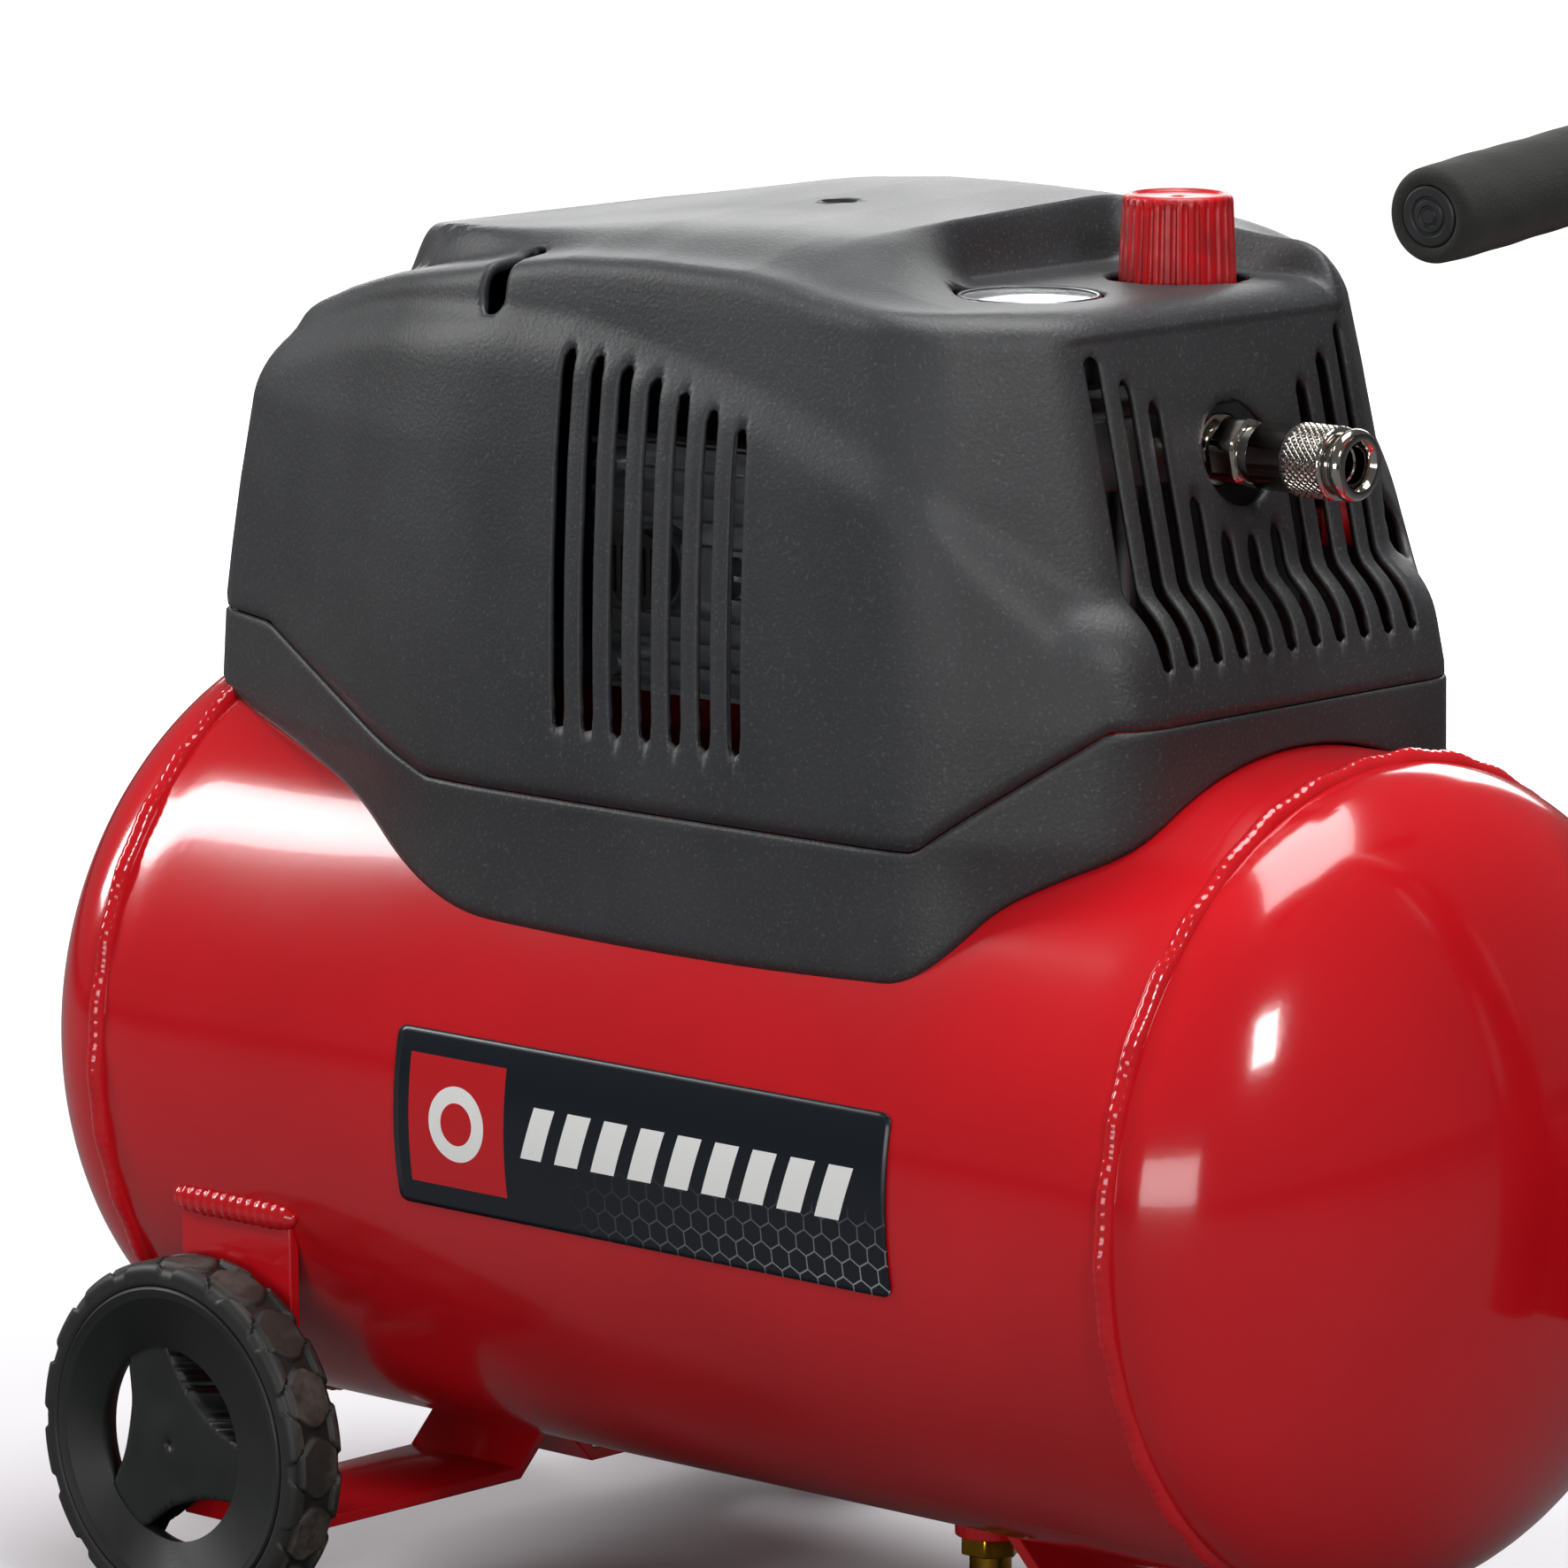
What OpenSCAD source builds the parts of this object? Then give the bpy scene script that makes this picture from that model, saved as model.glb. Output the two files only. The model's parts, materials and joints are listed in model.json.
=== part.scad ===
// Oil-free air compressor on a lying tank, with two wheels, a foot, a handle and a moulded cover.
// Millimetres. +X runs along the tank towards the handle, +Z is up and the floor is z = 0.
// The origin is under the middle of the whole machine. Inside at_tank(), x is measured from the
// middle of the tank and z from the tank's axis.

/* [Tank] */
// Outer diameter of the tank
tank_d = 250; // [246:1:252]
// Length of the straight shell between the weld seams
tank_l = 414; // [410:1:424]
// Depth of each domed end
dome_h = 66; // [62:1:70]
// Thickness of the tank's steel
steel_t = 2; // [1.5:0.1:3]
// Height of the tank's axis above the floor
axis_h = 172; // [170:1:175]
// Length of the label on the tank's front
label_l = 200; // [150:1:220]
// Arc that the label covers, in degrees
label_arc = 25; // [15:1:30]

/* [Wheels and foot] */
// Diameter of the wheels
wheel_d = 116; // [112:1:118]
// Width of each wheel
wheel_w = 21.7; // [18:0.1:21.7]
// Distance of the wheels' axle behind the middle of the tank
axle_x = 158; // [154:1:162]
// Half the width over the two wheels
track_half = 143; // [143:1:146]
// Diameter of the axle bolts
axle_d = 10; // [8:1:12]
// Width of each wheel bracket
bracket_w = 48; // [40:1:52]
// Thickness of the bent strips
strip_t = 4; // [3:0.5:5]
// Diameter of the rubber foot
foot_d = 40; // [30:1:44]

/* [Cover] */
// Wall thickness of the moulded shells
wall = 3; // [2.5:0.1:3.5]
// Number of slots in each side
side_slots = 7; // [3:1:7]
// Number of slots in the end, to each side of the middle one
end_slots = 5; // [2:1:5]
// Width of every slot
slot_w = 5; // [3:0.5:6]

/* [Controls] */
// Diameter of the regulator's knob at its base
knob_d = 38; // [34:1:40]
// Height of the knob
knob_h = 34; // [30:1:36]
// Diameter of the pressure gauge
gauge_d = 43; // [40:1:43]
// Bore of the quick coupler
coupler_bore_d = 12; // [10:0.5:13]
// Bore of the cable gland
gland_bore_d = 8.4; // [7:0.1:9]

/* [Pump] */
// Bore of the cylinder
bore_d = 60; // [54:1:62]
// Stroke of the piston
stroke = 30; // [20:1:30]
// Diameter of the crankshaft
shaft_d = 12; // [10:1:14]
// Outer diameter of the motor
motor_d = 84; // [80:1:84]
// Radial running clearance of shafts in their holes
run_gap = 0.05; // [0.02:0.01:0.1]

/* [Handle] */
// Diameter of the foam grips
grip_d = 27; // [25:1:30]
// Diameter of the cross tube
bar_d = 22; // [18:1:23]
// Diameter of the post
post_d = 25; // [24:1:28]
// Half the length of the cross bar
bar_half = 120; // [100:1:130]

/* [Hidden] */
$fn = 48;
tank_r = tank_d / 2;
// places of the handle's middle, and how much the cross bar falls and sweeps towards its ends;
// the post stands beside the middle, so that a hose plug has a straight way to the coupler
handle_x = 307;
post_x = 308.5;
post_y = 20;
bar_z = 310.5;
bar_drop = 9.5;
bar_sweep = 9;
tank_x = (tank_l / 2 + dome_h - handle_x - bar_sweep - grip_d / 2) / 2;
// a hair of room between faces that only just clear
hair = 0.3;

red = [0.72, 0.05, 0.06];
black = [0.16, 0.16, 0.17];
steel = [0.6, 0.6, 0.62];
alu = [0.75, 0.75, 0.76];
brass = [0.78, 0.62, 0.2];
rubber = [0.1, 0.1, 0.1];

// wheels and brackets
wheel_r = wheel_d / 2;
axle_z = wheel_r - axis_h;
rim_r = wheel_r - 8;
wheel_in = track_half - wheel_w;
leg_out = 118;
leg_in = leg_out - strip_t;
strip_z = -139;
bracket_x = -152;
bend_y = 18;
half_gap = 0.5;
spoke_turn = 110;
window_r = 43;

// foot
foot_x = 152;
foot_leg = 46;
foot_strip_z = -141;

// moulded cover: height, left end, right end, front corners, half widths at the front and ends
cover_rings = [
    [56, -204, 166, -62, 112, 106, 50],
    [104, -219.5, 175, -79, 120, 112, 64],
    [138, -217, 175, -79, 120, 112, 64],
    [174, -210, 161, -78, 116, 110.5, 62],
    [236, -185, 144, -74, 107, 106, 60],
    [262, -169, 135, -66, 100, 98, 56],
    [272, -152, 124, -55, 90, 86, 48]
];
corner_r = 8;
// parting line between the cover and the base shell, seen from the side
belt = [[-260, 134], [-180, 134], [-79, 101], [120, 101], [168, 138], [260, 138]];
panel_z = 255;
panel_x = 58;
panel_y = 58;
side_pitch = 11.9;
side_x = 17.2;
back_x = -45;
side_low = 122;
end_pitch = 11.2;
end_low = 153;
// tops of the end slots, from the middle one outwards
end_tops = [184, 186, 197, 225.6, 232.5, 240];
port_y = 0;
port_z = 210;
port_r = 15.5;
chamfer_turn = 38.8;
button_place = [135.3, 70.6, 182];
button_hole_r = 12;
screw_place = [-7, 0, 0];
gland_x = -60;
gland_z = 90;
gland_wall = 108;

// controls
gauge_place = [97, -32, 0];
knob_place = [100, 32, 0];
block_x0 = 82;
block_x1 = 128;
block_y = 50;
block_z0 = 199;
block_z1 = 221;
riser_x = 105;
coupler_x0 = 161;
coupler_x1 = 197;
coupler_r = 8.6;

// motor and pump
crank_y = 20;
crank_z = 170;
pump_x = 11;
motor_r = motor_d / 2;
motor_x0 = -130;
motor_x1 = -28;
core_x0 = -108;
core_x1 = -58;
case_r = 46;
case_x1 = 34;
shaft_r = shaft_d / 2;
rotor_r = 25.4;
bore_r = bore_d / 2;
head_y = -75;
fin_pitch = 7.3;
fin_half = 38;
flange_half = 36;
bolt_off = 30;
mount_off = 52;
mount_xs = [-118, -46];
rail_top = 136;
lug_z = 146;
valve_place = [82, -79, 0];
boss_top = 106;

// ---- helpers ----

module at_tank() {
    translate([tank_x, 0, axis_h]) children();
}

module rod_x(x0, x1, r) {
    translate([x0, 0, 0]) rotate([0, 90, 0]) cylinder(r = r, h = x1 - x0);
}

module rod_y(y0, y1, r) {
    translate([0, y0, 0]) rotate([-90, 0, 0]) cylinder(r = r, h = y1 - y0);
}

module rod_z(z0, z1, r) {
    translate([0, 0, z0]) cylinder(r = r, h = z1 - z0);
}

// block between two corners
module block(a, b) {
    translate(a) cube(b - a);
}

function dome_points(r, h) = concat([for (a = [0 : 6 : 84]) [r * cos(a), h * sin(a)]], [[0, h]]);

// solid half ellipsoid of one tank end, on the axis and turned outwards
module dome_solid(end, shrink = 0) {
    translate([end * tank_l / 2, 0, 0]) rotate([0, end * 90, 0])
        rotate_extrude($fn = 96)
            polygon(concat([[0, 0]], dome_points(tank_r - shrink, dome_h - shrink)));
}

// room that the tank and its weld beads take, used to trim what is welded or laid on it
module tank_room(gap = 0) {
    rod_x(-tank_l / 2 - 40, tank_l / 2 + 40, tank_r + gap, $fn = 96);
}

module mirrored_y(side) {
    if (side < 0) mirror([0, 1, 0]) children();
    else children();
}

// ---- tank ----

module tank_shell() {
    color(red) at_tank() difference() {
        rod_x(-tank_l / 2, tank_l / 2, tank_r, $fn = 96);
        rod_x(-tank_l / 2 - 1, tank_l / 2 + 1, tank_r - steel_t, $fn = 96);
    }
}

module dome(end) {
    color(red) at_tank() difference() {
        dome_solid(end);
        dome_solid(end, steel_t);
    }
}

module weld_beads() {
    bead = 2.5;
    color(red) at_tank() for (end = [-1, 1])
        translate([end * tank_l / 2, 0, 0]) rotate([0, 90, 0]) rotate_extrude($fn = 96)
            intersection() {
                translate([tank_r, 0]) circle(r = bead, $fn = 24);
                translate([tank_r, -bead]) square([bead, 2 * bead]);
            }
}

// welded bosses: drain at the bottom, riser and check valve on top
module tank_bosses() {
    color(red) at_tank() difference() {
        union() {
            translate([56, 0, 0]) rod_z(-132, -tank_r + 2, 11);
            translate([riser_x, 0, 0]) rod_z(tank_r - 2, 131, 10);
            translate(valve_place) rod_z(88, boss_top, 11);
        }
        tank_room();
    }
}

module front_label() {
    color([0.03, 0.06, 0.1]) at_tank() translate([-75, 0, 0]) rotate([0, 90, 0])
        rotate([0, 0, -90 - label_arc / 2]) rotate_extrude(angle = label_arc, $fn = 96)
            translate([tank_r, 0]) square([hair, label_l]);
}

// ---- wheels and their brackets; side -1 is the front, 1 the back ----

module wheel_bracket(side) {
    rise = strip_t * sqrt(2);
    slope = strip_z + bend_y;
    color(red) at_tank() mirrored_y(side) difference() {
        translate([bracket_x - bracket_w / 2, 0, 0]) rotate([90, 0, 90])
            linear_extrude(bracket_w) polygon([
                [half_gap, slope - half_gap], [half_gap, slope - half_gap - rise],
                [bend_y + strip_t - rise, strip_z - strip_t], [leg_out, strip_z - strip_t],
                [leg_out, -38], [leg_in, -38], [leg_in, strip_z], [bend_y, strip_z]
            ]);
        tank_room();
        translate([-axle_x, 0, axle_z]) rod_y(leg_in - 1, leg_out + 1, axle_d / 2 + 0.1);
    }
}

// stub bolts with their heads inside the brackets; each wheel snaps on to its own bolt
module axle_bolts() {
    head = 6;
    color(steel) at_tank() for (side = [-1, 1]) mirrored_y(side)
        translate([-axle_x, 0, axle_z]) {
            rod_y(leg_in - 0.1, track_half - 3.5, axle_d / 2);
            rod_y(leg_in - head, leg_in, axle_d * 0.9, $fn = 6);
        }
}

module axle_nuts() {
    color(steel) at_tank() for (side = [-1, 1]) mirrored_y(side)
        translate([-axle_x, 0, axle_z]) difference() {
            rod_y(leg_out, wheel_in - hair, axle_d * 0.9, $fn = 6);
            rod_y(leg_out - 1, wheel_in + 1, axle_d / 2 + 0.1);
        }
}

module spokes() {
    union() {
        circle(r = 15);
        for (k = [0 : 2]) rotate(spoke_turn + k * 120)
            polygon([[0, -17], [window_r + 1, -6], [window_r + 1, 6], [0, 17]]);
    }
}

module wheel_rim(side) {
    color(black) at_tank() mirrored_y(side) translate([-axle_x, 0, axle_z]) difference() {
        rod_y(wheel_in, track_half, rim_r, $fn = 72);
        translate([0, track_half + 1, 0]) rotate([90, 0, 0]) linear_extrude(wheel_w + 2)
            difference() {
                circle(r = window_r, $fn = 72);
                spokes();
            }
        rod_y(wheel_in - 1, track_half - 3, axle_d / 2 + run_gap);
    }
}

module wheel_tyre(side) {
    shoulder = 3;
    color(rubber) at_tank() mirrored_y(side) translate([-axle_x, wheel_in, axle_z])
        rotate([-90, 0, 0]) rotate_extrude($fn = 72) polygon([
            [rim_r, 0], [wheel_r - shoulder, 0], [wheel_r, shoulder],
            [wheel_r, wheel_w - shoulder], [wheel_r - shoulder, wheel_w], [rim_r, wheel_w]
        ]);
}

// ---- foot and drain ----

module foot_bracket() {
    drop = -foot_strip_z - tank_r + 8;
    low = foot_strip_z - strip_t;
    color(red) at_tank() difference() {
        translate([foot_x, bracket_w / 2, 0]) rotate([90, 0, 0]) linear_extrude(bracket_w)
            polygon([
                [-foot_leg - drop, -tank_r + 8], [-foot_leg, foot_strip_z],
                [foot_leg, foot_strip_z], [foot_leg + drop, -tank_r + 8],
                [foot_leg + drop + strip_t * 1.4, -tank_r + 8],
                [foot_leg + strip_t * 0.4, low], [-foot_leg - strip_t * 0.4, low],
                [-foot_leg - drop - strip_t * 1.4, -tank_r + 8]
            ]);
        tank_room();
        dome_solid(1);
        translate([foot_x, 0, 0]) rod_z(low - 1, foot_strip_z + 1, 4.2);
    }
}

module rubber_foot() {
    top = foot_strip_z - strip_t;
    color(rubber) at_tank() translate([foot_x, 0, 0]) difference() {
        translate([0, 0, -axis_h]) cylinder(r1 = foot_d / 2, r2 = foot_d / 2 - 3, h = top + axis_h);
        rod_z(-axis_h + 12, top + 1, 4.2);
        rod_z(-axis_h - 1, -axis_h + 12, 8);
    }
}

module foot_screw() {
    color(steel) at_tank() translate([foot_x, 0, 0]) {
        rod_z(-axis_h + 8, -axis_h + 12, 6.5);
        rod_z(-axis_h + 11.9, foot_strip_z + 8, 4);
        difference() {
            rod_z(foot_strip_z, foot_strip_z + 5, 7.5, $fn = 6);
            rod_z(foot_strip_z - 1, foot_strip_z + 6, 3.9);
        }
    }
}

module drain_valve() {
    color(brass) at_tank() translate([56, 0, 0]) difference() {
        union() {
            rod_z(-138, -132, 9.5, $fn = 6);
            rod_z(-148, -138, 6.5);
        }
        rod_z(-149, -139, 3 + run_gap);
    }
}

module drain_screw() {
    color(brass) at_tank() translate([56, 0, 0]) {
        rod_z(-149, -140, 3);
        rod_z(-157, -148.3, 7.5);
    }
}

// ---- moulded shells ----

// one level of the moulding's outline as a thin slab of round corners, drawn in by t
module outline(k, t) {
    r = cover_rings[k];
    xs = [r[1] + t, r[3] + t * 0.6, r[4] - t * 0.6, r[2] - t];
    ys = [r[6] - t * 0.4, r[5] - t, r[5] - t, r[6] - t * 0.4];
    in_x = [corner_r, corner_r * 0.3, -corner_r * 0.3, -corner_r];
    translate([0, 0, r[0] - (k == len(cover_rings) - 1 ? t : 0)]) linear_extrude(0.01) hull()
        for (i = [0 : 3], s = [-1, 1])
            translate([xs[i] + in_x[i], s * (ys[i] - corner_r)]) circle(r = corner_r, $fn = 24);
}

module moulding(t) {
    for (k = [0 : len(cover_rings) - 2]) hull() {
        outline(k, t);
        outline(k + 1, t);
    }
}

// everything under the parting line
module below_belt() {
    translate([0, 200, 0]) rotate([90, 0, 0]) linear_extrude(400)
        polygon(concat(belt, [[260, -50], [-260, -50]]));
}

// slots over the pump in the front side, and over the motor in the back side
module side_slot_cuts() {
    half = (side_slots - 1) / 2;
    for (side = [-1, 1], k = [-half : half]) {
        x = (side < 0 ? side_x : back_x) + k * side_pitch;
        top = 234 - 0.9 * (k + half) - 0.34 * pow(k + half, 2);
        mirrored_y(side) hull() for (z = [side_low + slot_w / 2, top])
            translate([x, 0, z]) rod_y(85, 140, slot_w / 2, $fn = 12);
    }
}

module end_slot_cuts() {
    for (k = [-end_slots : end_slots])
        hull() for (z = [end_low + slot_w / 2, end_tops[abs(k)]])
            translate([0, k * end_pitch, z]) rod_x(120, 200, slot_w / 2, $fn = 12);
}

module top_cover() {
    color(black) at_tank() difference() {
        union() {
            difference() {
                moulding(0);
                moulding(wall);
                block([panel_x, -130, panel_z], [180, panel_y, 300]);
            }
            intersection() {
                moulding(0);
                union() {
                    block([panel_x - wall, -130, panel_z - wall], [180, panel_y + wall, panel_z]);
                    block([panel_x - wall, -130, panel_z - wall], [panel_x, panel_y + wall, 280]);
                    block([panel_x - wall, panel_y, panel_z - wall], [180, panel_y + wall, 280]);
                    translate(screw_place) rod_z(262, 271, 9);
                }
            }
        }
        below_belt();
        side_slot_cuts();
        end_slot_cuts();
        translate([0, port_y, port_z]) rod_x(120, 180, port_r);
        translate(gauge_place) rod_z(240, 290, gauge_d / 2 + 0.8);
        translate(knob_place) rod_z(240, 290, knob_d / 2 + 3.3);
        translate(screw_place) rod_z(265, 280, 5.5);
        translate(screw_place) rod_z(250, 280, 2.8);
        translate(button_place) rotate([0, 0, chamfer_turn]) rod_x(-12, 20, button_hole_r);
    }
}

module base_shell() {
    color(black) at_tank() difference() {
        intersection() {
            moulding(0);
            below_belt();
        }
        moulding(wall);
        outline_room();
        tank_room(hair);
        for (end = [-1, 1]) translate([end * tank_l / 2, 0, 0])
            rod_x(-6, 6, tank_r + 4, $fn = 96);
        translate([gland_x, gland_wall - 30, gland_z]) rod_y(0, 40, 8);
    }
}

// opens the bottom of the moulding
module outline_room() {
    translate([0, 0, cover_rings[0][0] - 1]) linear_extrude(3) hull()
        for (x = [-190, 150], y = [-30, 30]) translate([x, y]) circle(r = 4, $fn = 24);
}

module cover_screw() {
    color(steel) at_tank() translate(screw_place) {
        difference() {
            rod_z(265, 268.5, 4.5);
            block([-0.6, -3.5, 267.3], [0.6, 3.5, 270]);
        }
        rod_z(250, 265.1, 2.4);
    }
}

module cover_standoff() {
    color(steel) at_tank() difference() {
        translate(screw_place) rod_z(200, 262, 5, $fn = 6);
        translate(screw_place) rod_z(248, 263, 2.5);
        translate([0, crank_y, crank_z]) rod_x(-60, 60, case_r);
    }
}

// nylon gland for the supply cable, with its inner nut
module cable_gland() {
    wall_in = gland_wall - 5;
    color(rubber) at_tank() translate([gland_x, 0, gland_z]) difference() {
        union() {
            rod_y(wall_in - 5, wall_in - 0.5, 10, $fn = 6);
            rod_y(wall_in - 5, gland_wall + 8, 7.6);
            rod_y(gland_wall + 5, gland_wall + 11, 11, $fn = 6);
            rod_y(gland_wall + 11, gland_wall + 18, 9);
        }
        rod_y(wall_in - 6, gland_wall + 19, gland_bore_d / 2);
    }
}

// ---- gauge ----

module gauge_case() {
    r = gauge_d / 2;
    color(steel) at_tank() translate(gauge_place) difference() {
        union() {
            rod_z(229, 255, r);
            rod_z(block_z1, 229, 7, $fn = 6);
        }
        rod_z(249, 256, r - 1.5);
    }
}

module gauge_dial() {
    color("white") at_tank() translate(gauge_place) {
        rod_z(249, 249.8, gauge_d / 2 - 1.6);
        rod_z(249.8, 252, 0.8);
    }
}

module gauge_needle() {
    color("black") at_tank() translate(gauge_place) difference() {
        union() {
            rod_z(250.5, 251.5, 2.5);
            rotate([0, 0, 225]) block([-5, -0.6, 250.6], [16, 0.6, 251.2]);
        }
        rod_z(250, 252, 0.8 + run_gap);
    }
}

module gauge_lens() {
    color([0.8, 0.85, 0.9, 0.4]) at_tank() translate(gauge_place)
        rod_z(253.2, 255.2, gauge_d / 2 - 1.6);
}

// ---- outlet, regulator and coupler ----

module outlet_block() {
    color(alu) at_tank()
        block([block_x0, -block_y, block_z0], [block_x1, block_y, block_z1]);
}

module riser_pipe() {
    color(steel) at_tank() translate([riser_x, 0, 0]) {
        rod_z(131, 141, 9.5, $fn = 6);
        rod_z(141, block_z0, 6.5);
    }
}

module regulator_body() {
    color(brass) at_tank() translate(knob_place) {
        rod_z(block_z1, 243, 13.5);
        rod_z(243, 262, 6);
    }
}

module regulator_knob() {
    r = knob_d / 2;
    base = panel_z - 9;
    color(red) at_tank() translate(knob_place) difference() {
        union() {
            translate([0, 0, base]) cylinder(r1 = r - 0.8, r2 = r - 2, h = knob_h);
            for (k = [0 : 29]) rotate([0, 0, k * 12])
                translate([r - 2.2, 0, base]) cylinder(r = 1.3, h = knob_h - 2, $fn = 12);
        }
        rod_z(base - 1, 264, 6 + run_gap);
        rod_z(base + knob_h - 0.8, base + knob_h + 1, r - 4);
    }
}

module outlet_nipple() {
    color(steel) at_tank() translate([0, port_y, port_z]) {
        rod_x(block_x1, 142, 6.5);
        rod_x(142, 144.5, 11);
        rod_x(144.5, 147, 8);
        rod_x(147, 157, 10.5, $fn = 6);
    }
}

module coupler_body() {
    color(steel) at_tank() translate([0, port_y, port_z]) difference() {
        union() {
            rod_x(157, 192, coupler_r);
            rod_x(192, coupler_x1, 10.8);
        }
        rod_x(174, coupler_x1 + 1, coupler_bore_d / 2);
    }
}

module coupler_sleeve() {
    color(steel) at_tank() translate([0, port_y, port_z]) difference() {
        union() {
            rod_x(coupler_x0 + hair, 176, 10.3);
            rod_x(173, 190, 11.5);
        }
        rod_x(coupler_x0 - 1, 191, coupler_r + run_gap);
    }
}

// the switch and its button share the slanted corner's direction
module at_button() {
    translate(button_place) rotate([0, 0, chamfer_turn]) children();
}

module pressure_switch() {
    neck = block_z0 - button_place[2];
    color(black) at_tank() at_button() difference() {
        union() {
            block([-48, -18, -24], [-14, 18, 14]);
            translate([-42, -13, 0]) rod_z(10, neck, 4);
        }
        rod_x(-34, -13, 3 + run_gap);
    }
}

module switch_button() {
    color(red) at_tank() at_button() {
        rod_x(-8, 4, 9);
        rod_x(-28, -7.9, 3);
    }
}

module safety_valve() {
    color(brass) at_tank() translate([0, 0, port_z]) difference() {
        union() {
            rod_x(74, block_x0, 8.5, $fn = 6);
            rod_x(62, 74, 6.5);
        }
        rod_x(61, 73, 2 + run_gap);
    }
}

module safety_ring() {
    ring_r = 8;
    ring_x = 59;
    color(steel) at_tank() translate([0, 0, port_z]) {
        rod_x(ring_x, 72, 2);
        translate([ring_x - ring_r, 0, 0]) rotate([90, 0, 0]) rotate_extrude()
            translate([ring_r, 0]) circle(r = 1.2, $fn = 24);
    }
}

// ---- motor ----

module at_crank() {
    at_tank() translate([0, crank_y, crank_z]) children();
}

module motor_housing() {
    color(alu) at_crank() difference() {
        union() {
            rod_x(motor_x0, motor_x1, motor_r, $fn = 72);
            for (x = mount_xs, s = [-1, 1])
                block([x - 9, s > 0 ? 33 : -61, lug_z - crank_z],
                      [x + 9, s > 0 ? 61 : -33, lug_z + 4 - crank_z]);
        }
        rod_x(motor_x0 - 1, motor_x1 + 1, motor_r - 4, $fn = 72);
        for (x = mount_xs, s = [-1, 1]) translate([x, s * mount_off, 0]) rod_z(-30, -10, 3.2);
    }
}

module motor_end_shield() {
    color(alu) at_crank() difference() {
        union() {
            rod_x(motor_x0 - 5, motor_x0, motor_r, $fn = 72);
            rod_x(motor_x0 - 10, motor_x0, 18);
        }
        rod_x(motor_x0 - 11, motor_x0 + 1, 14);
    }
}

module stator_core() {
    color(steel) at_crank() difference() {
        union() {
            rod_x(core_x0, core_x1, motor_r - 4, $fn = 72);
            rod_x(core_x0 - 14, core_x1 + 14, 35);
        }
        rod_x(core_x0 - 15, core_x1 + 15, rotor_r + 0.6);
    }
}

// overhung crankshaft with the rotor and the counterweighted web
module rotor_shaft() {
    color(steel) at_crank() {
        rod_x(-160, -8.9, shaft_r);
        rod_x(core_x0, core_x1, rotor_r);
        difference() {
            rod_x(-9, 1, 28);
            translate([0, -stroke / 2, 0]) rod_x(-10, 2, 6);
        }
    }
}

module cooling_fan() {
    blades = 9;
    color(black) at_crank() difference() {
        union() {
            rod_x(-158, -144, 10);
            for (k = [0 : blades - 1]) rotate([k * 360 / blades, 0, 0])
                translate([-151, 0, 24]) rotate([0, 0, 35]) cube([1.5, 16, 32], center = true);
        }
        rod_x(-159, -143, shaft_r);
    }
}

module shaft_bearings() {
    color(steel) at_crank() for (x = [motor_x0 - 10, motor_x1]) difference() {
        rod_x(x, x + 10, 14);
        rod_x(x - 1, x + 11, shaft_r + run_gap);
    }
}

module capacitor() {
    can_r = 17.5;
    can_z = motor_r + can_r + 1;
    color(steel) at_crank() difference() {
        union() {
            translate([0, 0, can_z]) rod_x(-125, -65, can_r);
            block([-110, -12, motor_r - 4], [-80, 12, can_z - 2]);
        }
        rod_x(-130, -60, motor_r, $fn = 72);
    }
}

module pump_rails() {
    color(steel) at_tank() difference() {
        for (s = [-1, 1]) translate([0, crank_y + s * mount_off, 0]) {
            block([-130, -9, rail_top - 3], [-34, 9, rail_top]);
            block([-130, -1.5, 80], [-34, 1.5, rail_top - 3]);
        }
        tank_room();
        for (x = mount_xs, s = [-1, 1])
            translate([x, crank_y + s * mount_off, 0]) rod_z(rail_top - 12, rail_top + 1, 3.2);
    }
}

module rubber_mounts() {
    color(rubber) at_tank() for (x = mount_xs, s = [-1, 1])
        translate([x, crank_y + s * mount_off, 0]) difference() {
            rod_z(rail_top, lug_z, 8);
            rod_z(rail_top - 1, lug_z + 1, 3.2);
        }
}

module mount_screws() {
    color(steel) at_tank() for (x = mount_xs, s = [-1, 1])
        translate([x, crank_y + s * mount_off, 0]) {
            rod_z(lug_z + 4, lug_z + 8, 5.5, $fn = 6);
            rod_z(rail_top - 5, lug_z + 4.1, 3);
        }
}

// ---- pump ----

module crankcase() {
    color(alu) at_crank() difference() {
        union() {
            rod_x(motor_x1, case_x1, case_r, $fn = 72);
            block([pump_x - 23, -46.5, -28], [case_x1, -20, 28]);
        }
        rod_x(motor_x1 + 10, case_x1 + 1, case_r - 5, $fn = 72);
        rod_x(motor_x1 - 1, motor_x1 + 11, 14);
        translate([pump_x, 0, 0]) rod_y(-60, 0, 20);
    }
}

module crankcase_cover() {
    color(alu) at_crank() {
        rod_x(case_x1, case_x1 + 3, case_r, $fn = 72);
        rod_x(case_x1 + 3, case_x1 + 5, 30);
    }
}

// wobble piston and rod in one piece, with the crank pin, at top dead centre
module connecting_rod() {
    pin_y = crank_y - stroke / 2;
    color(alu) at_tank() translate([pump_x, 0, crank_z]) {
        rod_y(-68, -66, bore_r - 2);
        rod_y(-62, -59, bore_r - 2);
        rod_y(-66, -62, bore_r - 6);
        block([-5, -59, -7], [5, pin_y - 10, 7]);
        translate([0, pin_y, 0]) rod_x(-6, 6, 14);
        translate([0, pin_y, 0]) rod_x(1 + hair - pump_x, -5.9, 6);
    }
}

module piston_seal() {
    color([0.3, 0.25, 0.2]) at_tank() translate([pump_x, 0, crank_z]) difference() {
        rod_y(-66, -62, bore_r - run_gap);
        rod_y(-67, -61, bore_r - 6);
    }
}

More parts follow.
